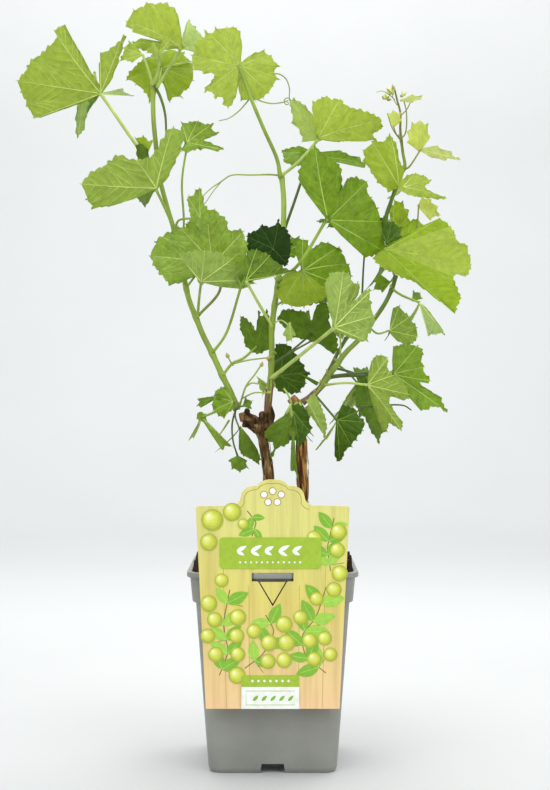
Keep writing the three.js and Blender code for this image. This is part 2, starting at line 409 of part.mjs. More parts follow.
// The margin of a blade: its lobes, and teeth between them.
function marginOf(lobes, reach) {
  const margin = [];
  const degrees = 180 / Math.PI;
  const push = (bearing, dip) => {
    const r = Math.max(HEEL, reachAt(lobes, bearing) - dip * TOOTH_DEPTH * reach);
    const a = bearing / degrees;
    margin.push(new THREE.Vector2(r * Math.cos(a), r * Math.sin(a)));
  };
  for (let i = 0; i < lobes.length; i += 1) {
    const [from, near] = lobes[i];
    const [to] = lobes[(i + 1) % lobes.length];
    const span = ((to - from) % 360 + 360) % 360;
    if (span > OPEN_SPAN) {
      push(from, 0);
      for (const past of [EDGE_FALL, span / 2, span - EDGE_FALL]) push(from + past, 0);
    } else {
      const toothAngle = Math.max(TOOTH_LEAST_ANGLE, ((TOOTH_RUN * reach) / near) * degrees);
      const count = Math.max(1, Math.round(span / toothAngle));
      for (let k = 0; k < count; k += 1) push(from + (span * k) / count, k % 2);
    }
  }
  return margin;
}

// An outline moved outwards by a distance, square to its run at each point.
function widened(outline, distance) {
  return outline.map((point, i) => {
    const before = outline[(i + outline.length - 1) % outline.length];
    const after = outline[(i + 1) % outline.length];
    const run = new THREE.Vector2().subVectors(after, before).normalize();
    return new THREE.Vector2(point.x + run.y * distance, point.y - run.x * distance);
  });
}

// One blade: its outline extruded to its thickness, then leaned and cupped.
function blade({ at, lobes, lean, cup }, grow) {
  const reach = Math.max(...lobes.map((lobe) => lobe[1]));
  const shape = new THREE.Shape(widened(marginOf(lobes, reach), grow));
  const thick = BLADE_THICKNESS + 2 * grow;
  const sheet = new THREE.ExtrudeGeometry(shape, { depth: thick, bevelEnabled: false, steps: 1 });
  return toSolid(reshape(sheet, (p) => {
    const across = p.x;
    const up = p.y;
    const spread = (across * across + up * up) / reach;
    const depth = LEAF_DEPTH * (at[1] + lean[0] * across + lean[1] * up + cup * spread);
    p.set(at[0] + across, depth + thick / 2 - p.z, at[2] + up);
  }));
}

// A stalk's route, which leaves the shoot as listed and ends at its leaf's full depth.
function deepened(list) {
  const last = list.length / 3 - 1;
  return list.map((value, i) => {
    if (i % 3 !== 1) return value;
    return value * (1 + ((LEAF_DEPTH - 1) * Math.floor(i / 3)) / last);
  });
}

// A leaf mass: its blades joined with its stalks.
function leafMass({ stalks, blades }, grow) {
  let solid = null;
  for (const row of blades) {
    const next = blade(row, grow);
    solid = solid ? solid.add(next) : next;
  }
  for (const list of stalks) {
    const stalk = limb(deepened(list), STALK_RADIUS + STALK_FLARE + grow, STALK_RADIUS + grow,
      { sides: 4, steps: 2 * (list.length / 3 - 1), extend: grow });
    solid = solid.add(stalk);
  }
  return solid;
}

// ---- pot ----------------------------------------------------------------------
// Point k of a square with round corners, of the given half width.
function squarePoint(k, half) {
  const perCorner = CORNER_STEPS + 1;
  const quarter = Math.floor(k / perCorner) % 4;
  const radius = Math.min(CORNER_RADIUS * (half / RIM_HALF), half);
  const angle = ((k % perCorner) / CORNER_STEPS + quarter) * (Math.PI / 2);
  const middle = Math.PI / 4 + quarter * (Math.PI / 2);
  const reach = (half - radius) * Math.SQRT2;
  return [
    reach * Math.cos(middle) + radius * Math.cos(angle),
    reach * Math.sin(middle) + radius * Math.sin(angle),
  ];
}

// A solid of square plan turned from a profile of [half width, z] pairs, bottom to top.
function squareTurned(profile) {
  const segments = 4 * (CORNER_STEPS + 1);
  const turned = new THREE.LatheGeometry(profile.map(([w, z]) => new THREE.Vector2(w, z)), segments);
  return toSolid(reshape(turned, (p, i) => {
    const [half, z] = profile[i % profile.length];
    const k = Math.floor(i / profile.length) % segments;
    const [x, y] = squarePoint(k, half);
    p.set(x, y, z);
  }));
}

function box(x0, x1, y0, y1, z0, z1) {
  const geometry = new THREE.BoxGeometry(x1 - x0, y1 - y0, z1 - z0);
  geometry.translate((x0 + x1) / 2, (y0 + y1) / 2, (z0 + z1) / 2);
  return toSolid(geometry);
}

const bodyHalf = (z) => BASE_HALF + ((BODY_TOP_HALF - BASE_HALF) * z) / COLLAR_BOTTOM;

function makePot() {
  const lip = POT_HEIGHT - LIP_HEIGHT;
  const shell = squareTurned([
    [0, 0], [BASE_HALF - 2, 0], [bodyHalf(3), 3], [BODY_TOP_HALF, COLLAR_BOTTOM - 2],
    [COLLAR_HALF, COLLAR_BOTTOM], [COLLAR_HALF, lip], [RIM_HALF, lip + 0.5],
    [RIM_HALF, POT_HEIGHT], [COLLAR_HALF - POT_WALL, POT_HEIGHT],
    [COLLAR_HALF - POT_WALL, COLLAR_BOTTOM + 2], [BODY_TOP_HALF - POT_WALL, COLLAR_BOTTOM - 1],
    [bodyHalf(POT_FLOOR) - POT_WALL, POT_FLOOR], [0, POT_FLOOR],
  ]);
  const { width, height, depth } = NOTCH;
  let pot = shell;
  let recesses = null;
  for (let side = 0; side < 4; side += 1) {
    const turn = (solid) => solid.rotate([0, 0, 90 * side]);
    const inner = -BASE_HALF + depth;
    const hood = turn(box(-width / 2 - 2, width / 2 + 2, -BASE_HALF + 1.2, inner + 2, 1, height + 2));
    const recess = turn(box(-width / 2, width / 2, -RIM_HALF, inner, -1, height));
    pot = pot.add(hood);
    recesses = recesses ? recesses.add(recess) : recess;
  }
  const lug = box(-LUG.width / 2, LUG.width / 2, -RIM_HALF - LUG.reach, -RIM_HALF + 2,
    POT_HEIGHT - LUG.height, POT_HEIGHT);
  return pot.subtract(recesses).add(lug);
}

const SOIL_BASE = NOTCH.height + 2 + GAP;

function makeSoil() {
  const inside = POT_WALL + GAP;
  const soil = squareTurned([
    [0, SOIL_BASE], [bodyHalf(SOIL_BASE) - inside, SOIL_BASE],
    [BODY_TOP_HALF - inside, COLLAR_BOTTOM - 1], [COLLAR_HALF - inside, COLLAR_BOTTOM + 5],
    [COLLAR_HALF - inside, SOIL_TOP - 3], [COLLAR_HALF - 12, SOIL_TOP], [30, SOIL_TOP],
    [0, SOIL_TOP],
  ]);
  return soil.warp((p) => {
    if (p[2] < SOIL_TOP - 1) return;
    const lump = Math.sin(p[0] * 0.21 + 1) * Math.cos(p[1] * 0.17) + Math.sin(p[0] * 0.09 - p[1] * 0.11);
    p[2] += SOIL_LUMPS * 0.5 * lump;
  });
}

// ---- card ---------------------------------------------------------------------
function makeCard() {
  const { bottom, shoulder, bottomHalf, shoulderHalf, archHalf, archTop, corner } = CARD;
  const outline = new THREE.Shape();
  outline.moveTo(-bottomHalf, bottom);
  outline.lineTo(bottomHalf, bottom);
  outline.lineTo(shoulderHalf, shoulder - corner);
  outline.quadraticCurveTo(shoulderHalf, shoulder, shoulderHalf - corner, shoulder);
  outline.lineTo(CARD.stepHalf, shoulder + 1);
  outline.bezierCurveTo(archHalf, shoulder + CARD.stepRise, archHalf - 2, archTop - 7, 13, archTop - 4);
  outline.bezierCurveTo(7, archTop + 1.5, -7, archTop + 1.5, -13, archTop - 4);
  outline.bezierCurveTo(-archHalf + 2, archTop - 7, -archHalf, shoulder + CARD.stepRise,
    -CARD.stepHalf, shoulder + 1);
  outline.lineTo(-shoulderHalf + corner, shoulder);
  outline.quadraticCurveTo(-shoulderHalf, shoulder, -shoulderHalf, shoulder - corner);
  outline.closePath();
  const slot = new THREE.Path();
  slot.moveTo(-CARD.slotHalf, CARD.slotBottom);
  slot.lineTo(-CARD.slotHalf, CARD.slotTop);
  slot.lineTo(CARD.slotHalf, CARD.slotTop);
  slot.lineTo(CARD.slotHalf, CARD.slotBottom);
  slot.closePath();
  outline.holes.push(slot);
  const board = new THREE.ExtrudeGeometry(outline,
    { depth: CARD.thick, bevelEnabled: false, curveSegments: 6 });
  board.rotateX(Math.PI / 2);
  board.translate(0, -RIM_HALF - GAP, 0);
  return toSolid(board);
}

// ---- assembly -----------------------------------------------------------------
// Old wood is uneven and swells at its cut head; a green shoot swells at its joints.
function woodSwell(t, angle) {
  const head = Math.exp(-(((t - HEAD.at) / HEAD.spread) ** 2));
  return 1 + KNOB_HEIGHT * Math.sin(KNOB_TURNS * t + 2 * angle) + HEAD.swell * head;
}

function shootSwell(t) {
  return 1 + JOINT_SWELL * Math.max(0, Math.cos(JOINT_TURNS * t)) ** 6;
}

function makeLimb([name, colour, base, tip, route], grow) {
  const woody = colour !== "shoot";
  return limb(route, base + grow, tip + grow, {
    sides: woody ? 8 : 5,
    steps: woody ? 12 : Math.round(route.length / 2),
    extend: grow,
    swell: woody ? woodSwell : shootSwell,
  });
}

const pieces = [];
function place(name, colour, solid, cutter) {
  let own = solid;
  for (const other of pieces) {
    const a = own.boundingBox();
    const b = other.cutter.boundingBox();
    const apart = [0, 1, 2].some((k) => a.max[k] < b.min[k] || a.min[k] > b.max[k]);
    if (!apart) own = own.subtract(other.cutter);
  }
  pieces.push({ name, colour, solid: mainPiece(own.simplify(SLIVER)), cutter });
}

place("pot", COLOURS.pot, makePot(), makePot());
place("card", COLOURS.card, makeCard(), makeCard());
for (const row of LIMBS) place(row[0], COLOURS[row[1]], makeLimb(row, 0), makeLimb(row, GAP));
place("soil", COLOURS.soil, makeSoil(), makeSoil());
for (const row of LEAVES) {
  place(row.name, TONES[row.blades[0].tone], leafMass(row, 0), leafMass(row, GAP));
}

const vine = new THREE.Group();
for (const { name, colour, solid } of pieces) {
  const material = new THREE.MeshStandardMaterial({ color: colour, roughness: 0.7, metalness: 0 });
  const mesh = new THREE.Mesh(toGeometry(solid), material);
  mesh.name = name;
  vine.add(mesh);
}

export default vine;
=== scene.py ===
"""A potted grapevine: bark, shoots, leaves with raised veins, tendrils, pot, soil and card."""

import itertools
import math
import random

import bpy
import numpy as np
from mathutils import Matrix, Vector, noise


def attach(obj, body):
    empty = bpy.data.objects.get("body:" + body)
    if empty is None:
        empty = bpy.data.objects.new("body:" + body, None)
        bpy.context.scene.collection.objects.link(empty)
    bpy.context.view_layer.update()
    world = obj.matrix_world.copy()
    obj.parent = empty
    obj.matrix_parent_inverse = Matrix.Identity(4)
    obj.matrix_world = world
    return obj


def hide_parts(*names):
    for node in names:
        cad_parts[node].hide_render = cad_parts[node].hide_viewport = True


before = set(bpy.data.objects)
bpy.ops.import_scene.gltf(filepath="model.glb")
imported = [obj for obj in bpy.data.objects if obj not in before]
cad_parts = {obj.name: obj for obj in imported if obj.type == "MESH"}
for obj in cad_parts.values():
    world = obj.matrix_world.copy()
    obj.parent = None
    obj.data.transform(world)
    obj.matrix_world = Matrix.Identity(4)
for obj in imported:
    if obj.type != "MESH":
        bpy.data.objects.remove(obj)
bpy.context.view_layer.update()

MM = 0.001
SEED = 20
TURN = 6.28               # a full turn, in radians, for random angles

# ---- pot, soil and card, in mm ----------------------------------------------------
POT_HEIGHT = 178
RIM_HALF = 75
LIP_HEIGHT = 5
COLLAR_HALF = 72.3
COLLAR_TAPER = 2.0
COLLAR_BOTTOM = 152
BODY_TOP_HALF = 67.4
BASE_HALF = 56.5
POT_WALL = 2.2
RIM_WALL = 1.4
POT_FLOOR = 2.4
CORNER_RADIUS = 15
CORNER_STEPS = 10
SIDE_STEPS = 14           # parts of each straight side
WALL_BOW = 0.7            # how far the walls stand out between the corners
EDGE_RADIUS = 0.9
# A recess through the foot of each wall, narrower at its top, under a hood inside the pot.
DRAIN = {"width": 22, "height": 8.5, "depth": 22, "taper": 1.2, "wall": 2}
LUG = {"width": 33, "height": 4.6, "reach": 3.2}
SOIL_TOP = 170
SOIL_DEPTH = 14
SOIL_GAP = 0.4            # between the soil and the collar
SOIL_RINGS = 40
CRUMB_COUNT = 900
CRUMB_SIZE = (0.7, 2.4)
CARD = {"bottom": 61, "shoulder": 236, "bottom_half": 57.8, "shoulder_half": 66.4, "arch_half": 27,
        "arch_top": 259, "step_half": 33, "thick": 1.1, "gap": 0.35}
CARD_FACE = -RIM_HALF - CARD["gap"] - CARD["thick"]
CARD_SLOT = {"half": 18, "bottom": 171, "top": 178.35, "tongue_half": 13.2, "tongue_bottom": 149.6}
PRINT_STEP = 0.03         # how far each printed layer stands in front of the last

# ---- leaves, in mm and degrees ------------------------------------------------------
LEAF_DEPTH = 1.9          # how far leaves stand off and lean, against their listed depths
LEAF_THICKNESS = 0.36
OPEN_SPAN = 70            # degrees without a lobe, from which a blade is open there
OPEN_REACH = 0.12         # of the open side, as a share of the lobes beside it
EDGE_FALL = 9             # degrees in which the margin falls from a lobe to the open side
LOBE_BULGE = 0.3          # how far the widest run between two lobes stands out
LOBE_NOTCH = 0.06         # how far the margin dips between two lobes
NOTCH_SPAN = 30           # the dip is less between lobes that are nearer than this
LEAST_REACH = 1.2
LOBE_SAMPLES = 41         # places that the margin between two lobes is worked out at
TOOTH_SIZE = (0.45, 75)   # share of the full size on a tiny blade, and the reach that adds a whole
TOOTH_LENGTH = 6.2        # along the margin
TOOTH_HEIGHT = 3.3
TOOTH_HEIGHTS = (0.6, 1.25)    # of single teeth, against the usual height
TOOTH_SHIFT = 0.2         # how far a tooth's tip is moved along, as a share of its length
TOOTH_STEEPEST = 0.42     # height against length
TOOTH_HOLLOW = (1.35, 1.1)     # how much a tooth's long and short side sag
OPEN_TOOTH = 2.6          # how much longer the flat steps of an open side are
BLUNT = 0.24              # how far a tooth's tip is rounded off, as a share of its height
MINOR_TOOTH = 0.55        # every other tooth is set back by this share of the height
CELL = 2.1                # spacing of a blade's rings
MARGIN_BAND = 0.78        # share of the reach from which the rings take on the teeth
QUILT_HEIGHT = 1.15       # the lamina between veins stands proud by this
QUILT_WIDTH = 2.6
QUILT_REACH = 35          # a smaller blade is quilted less
ARCH_HEIGHT = 0.055       # of the lamina between two main veins, as a share of the reach
ARCH_WIDTH = 0.2
WAVE_HEIGHT = 0.045       # of the margin, as a share of the reach
VEIN_LIFT = 0.14          # how far veins stand out of the front of the lamina
VEIN_APART = 21           # least angle between two main veins
VEIN_GAP = 56             # a wider angle between two gets one more between them
VEIN_STEPS = 14
VEIN_BEND = 5             # degrees that a main vein may bend by
VEIN_REACH = 0.97         # of a main vein, as a share of the blade's
VEIN_SIZE = (0.55, 55)    # thickness of the veins of a tiny blade, and the reach of a full-size one
TIP_LEAST = 0.4           # a lobe with less of the blade's reach has no main vein
BRANCH_GAP = (5.2, 0.03)  # between branch veins: fixed, and as a share of the reach
BRANCH_ANGLE = (38, 56)
BRANCH_STEP = 1.4
BRANCH_CURL = 1.1         # how much a branch turns back at each step
BRANCH_LONGEST = 40       # steps
BRANCH_REACH = 0.95       # as a share of the blade's
BRANCH_SHARE = 0.62       # it ends where another main vein is nearer than its own by this share,
BRANCH_CLEAR = 1.6        # or nearer than this
MAIN_VEIN = (0.66, 0.26)  # radius at its foot and its end
BRANCH_VEIN = (0.28, 0.18)
STALK_RADIUS = (0.64, 0.0094)  # fixed, and as a share of the leaf's reach
STALK_FLARE = 0.3         # how much thicker a stalk is at its ends
FLARE_SPAN = 0.06         # share of a stalk's length that a flare takes up
# Leaves on the far side of the shoots, each behind a leaf of at least this reach.
BACKING_REACH = 28
BACKING_SIZE = (0.62, 0.8)     # against the leaf in front
BACKING_DEPTH = (26, 58)       # behind it
BACKING_LEAST = 10             # a leaf with less room behind it has none
BACKING_ROOM = 15              # that a leaf's tilt leaves
BACKING_TURN = (35, 85)        # about the upright
BACKING_TILT = (0.25, 0.55)
BACKING_LIMIT = 112            # no leaf reaches further back than this
CAMERA = (2.0, -1327.0, 332.0) # where the picture is taken from

# ---- shoots and old wood, in mm -----------------------------------------------------
JOINT_SWELL = 0.2         # share of the radius that a shoot is thicker at a joint
JOINT_SPAN = 3.4          # how far along the shoot the swelling goes
JOINT_NEAR = 9            # a stalk that starts this near to a shoot makes a joint on it
SHOOT_SIDES = 18
TRUNK_STEPS = 190
TRUNK_SIDES = 60
PEEL_COUNT = 26
KNOB_STEPS = 26
KNOB_SIDES = 30

# ---- colours, sRGB 0..255 -----------------------------------------------------------
# The dark and deep leaf tints are partly the leaves' own deeper green and partly painted shade, for the
# leaves in the middle and low down that lie in shade; the blackish tint after them is painted shadow,
# on the centre leaf.
TINTS = {
    "lime": (188, 209, 90), "bright": (168, 198, 46), "yellow": (203, 215, 113),
    "cream": (205, 215, 143), "bloom": (184, 206, 123), "fresh": (169, 193, 56),
    "mid": (148, 178, 70), "grass": (130, 165, 34), "olive": (152, 176, 20),
    "dark": (117, 151, 37), "deep": (82, 118, 18), "darkest": (42, 76, 12),
    "u_bright": (169, 192, 83), "u_fresh": (167, 192, 85), "u_pale": (175, 201, 101),
    "u_dull": (125, 157, 51), "u_blue": (179, 205, 129),
}
PALE_GREEN = 185          # green value above which a leaf is pale and evenly coloured
BACK_OF = {
    "lime": "u_bright", "bright": "u_bright", "yellow": "bloom", "cream": "bloom", "bloom": "u_blue",
    "fresh": "u_fresh", "mid": "u_pale", "grass": "u_pale", "olive": "u_pale", "dark": "u_dull",
    "deep": "u_dull", "darkest": "u_dull", "u_bright": "fresh", "u_fresh": "mid", "u_pale": "grass",
    "u_dull": "dark", "u_blue": "mid",
}
# Main veins are "vein_light" where a tint isn't listed, and branch veins as the main ones. The darker
# veins of the darker tints carry the same painted shade.
VEIN_OF = {
    "bright": "vein_bright", "grass": "vein_mid", "olive": "vein_mid", "dark": "vein_dark",
    "deep": "vein_dark", "darkest": "vein_deep", "u_dull": "vein_mid",
}
BRANCH_OF = {
    "lime": "vein_mid", "fresh": "vein_bright", "mid": "vein_soft", "grass": "vein_faint",
    "olive": "vein_bright", "u_bright": "vein_soft", "u_fresh": "vein_soft", "u_pale": "vein_soft",
    "u_dull": "vein_faint",
}
STEM_TINTS = {
    "vein_light": (204, 220, 122), "vein_mid": (176, 202, 96), "vein_dark": (118, 150, 52),
    "vein_soft": (190, 211, 108), "vein_bright": (182, 208, 80), "vein_faint": (150, 180, 70),
    "vein_deep": (84, 112, 38),
    "stalk_pale": (184, 203, 106), "stalk_green": (146, 170, 66), "stalk_dark": (82, 102, 40),
    "stalk_warm": (140, 144, 68), "shoot_green": (140, 163, 58), "shoot_dark": (98, 122, 42),
    "shoot_bright": (158, 182, 74), "shoot_warm": (128, 130, 58), "shoot_wood": (120, 88, 62),
    "bud": (182, 170, 90), "bud_pale": (206, 216, 130),
}
BARK_TINTS = {
    "bark_black": (50, 36, 22), "bark_dark": (82, 59, 36), "bark_brown": (114, 86, 52),
    "bark_grey": (148, 124, 84), "bark_red": (92, 50, 36), "bark_tan": (150, 108, 58),
    "bark_orange": (186, 140, 76), "cut_wood": (166, 118, 80),
}
SOIL_TINTS = {
    "soil_mix": (46, 34, 27), "crumb_dark": (40, 29, 23), "crumb_brown": (74, 52, 38),
    "crumb_pale": (158, 128, 96),
}
POT_TINT = (141, 141, 134)
# The card's ground from its foot up: share of its height, and colour.
CARD_GROUND = [(0.0, (247, 208, 156)), (0.28, (238, 212, 144)), (0.6, (228, 214, 116)),
               (1.0, (226, 222, 132))]
PRINT_TINTS = {
    "print_seam": (190, 160, 90), "print_line": (176, 140, 66), "print_band": (166, 196, 56),
    "print_white": (250, 251, 245), "print_twig": (128, 122, 50), "print_leaf": (132, 188, 50),
    "print_leaf_light": (164, 212, 74), "print_rib": (196, 226, 120),
    "print_fruit_1": (172, 182, 58), "print_fruit_2": (196, 204, 68), "print_fruit_3": (214, 220, 84),
    "print_fruit_4": (227, 231, 106), "print_fruit_5": (238, 241, 144), "print_gleam": (251, 252, 222),
}
SWEEP_TINT = (203, 204, 203)

# ---- shoots: name: [base radius, tip radius, [x, y, z, ...]] ------------------------
SHOOTS = {
    "shoot_left_low": [2.9, 2.0, [-33, 2, 318, -38, 2, 333, -46, 2, 349, -56, 2, 371, -64, 2, 387,
        -70, 2, 402, -77, 2, 420, -83, 2, 448, -89, 2, 478]],
    "shoot_left_high": [2.2, 2.1, [-89.2, 2, 478.8, -98, 2, 508, -104, 3, 532, -107, 4, 557,
        -110, 5, 590, -110, 5, 616]],
    "shoot_middle": [2.8, 2.3, [-5, 2, 313, -3, 2, 330, -2, 2, 346, -1, 2, 373, -1, 2, 392, 1, 2, 410,
        5, 2, 436, 9, 2, 478, 10, 2, 511, 8, 2, 534]],
    "shoot_right_low": [2.7, 1.9, [27, 0, 325, 42, 1, 337, 55, 2, 355, 67, 3, 371, 79, 4, 383,
        92, 4, 400, 104, 4, 418, 111, 4, 434, 113, 4, 442]],
    "shoot_right_high": [2.35, 0.7, [112.9, 4, 443.2, 107, 4, 475, 104, 4, 494, 109, 3, 511,
        117, 2, 533, 121, 2, 541, 119, 2, 556, 117, 2, 575, 117, 2, 591, 114, 2, 603, 112, 2, 612]],
}


# ---- leaves: where each one hangs ---------------------------------------------------
def leaf(name, stalks, *blades):
    """A leaf of one or more blades on its stalks, each stalk a flat list of x, y, z."""
    return {"name": name, "stalks": stalks, "blades": blades}


def blade(tone, at, lean, cup, outline, parts=()):
    """A blade that starts at its joint `at` and reaches out to each "bearing:reach" of its outline.

    Bearing 0 points to +X and 90 up. lean: how much it goes back per mm to +X and per mm up.
    cup: how far its margin bends back. tone: the tint of its front. parts: other tints, each
    (from, to, tint) between two bearings, which paint light and shade on parts of the blade.
    """
    lobes = [[int(value) for value in pair.split(":")] for pair in outline.split()]
    return {"tone": tone, "at": at, "lean": lean, "cup": cup, "lobes": lobes, "parts": parts}


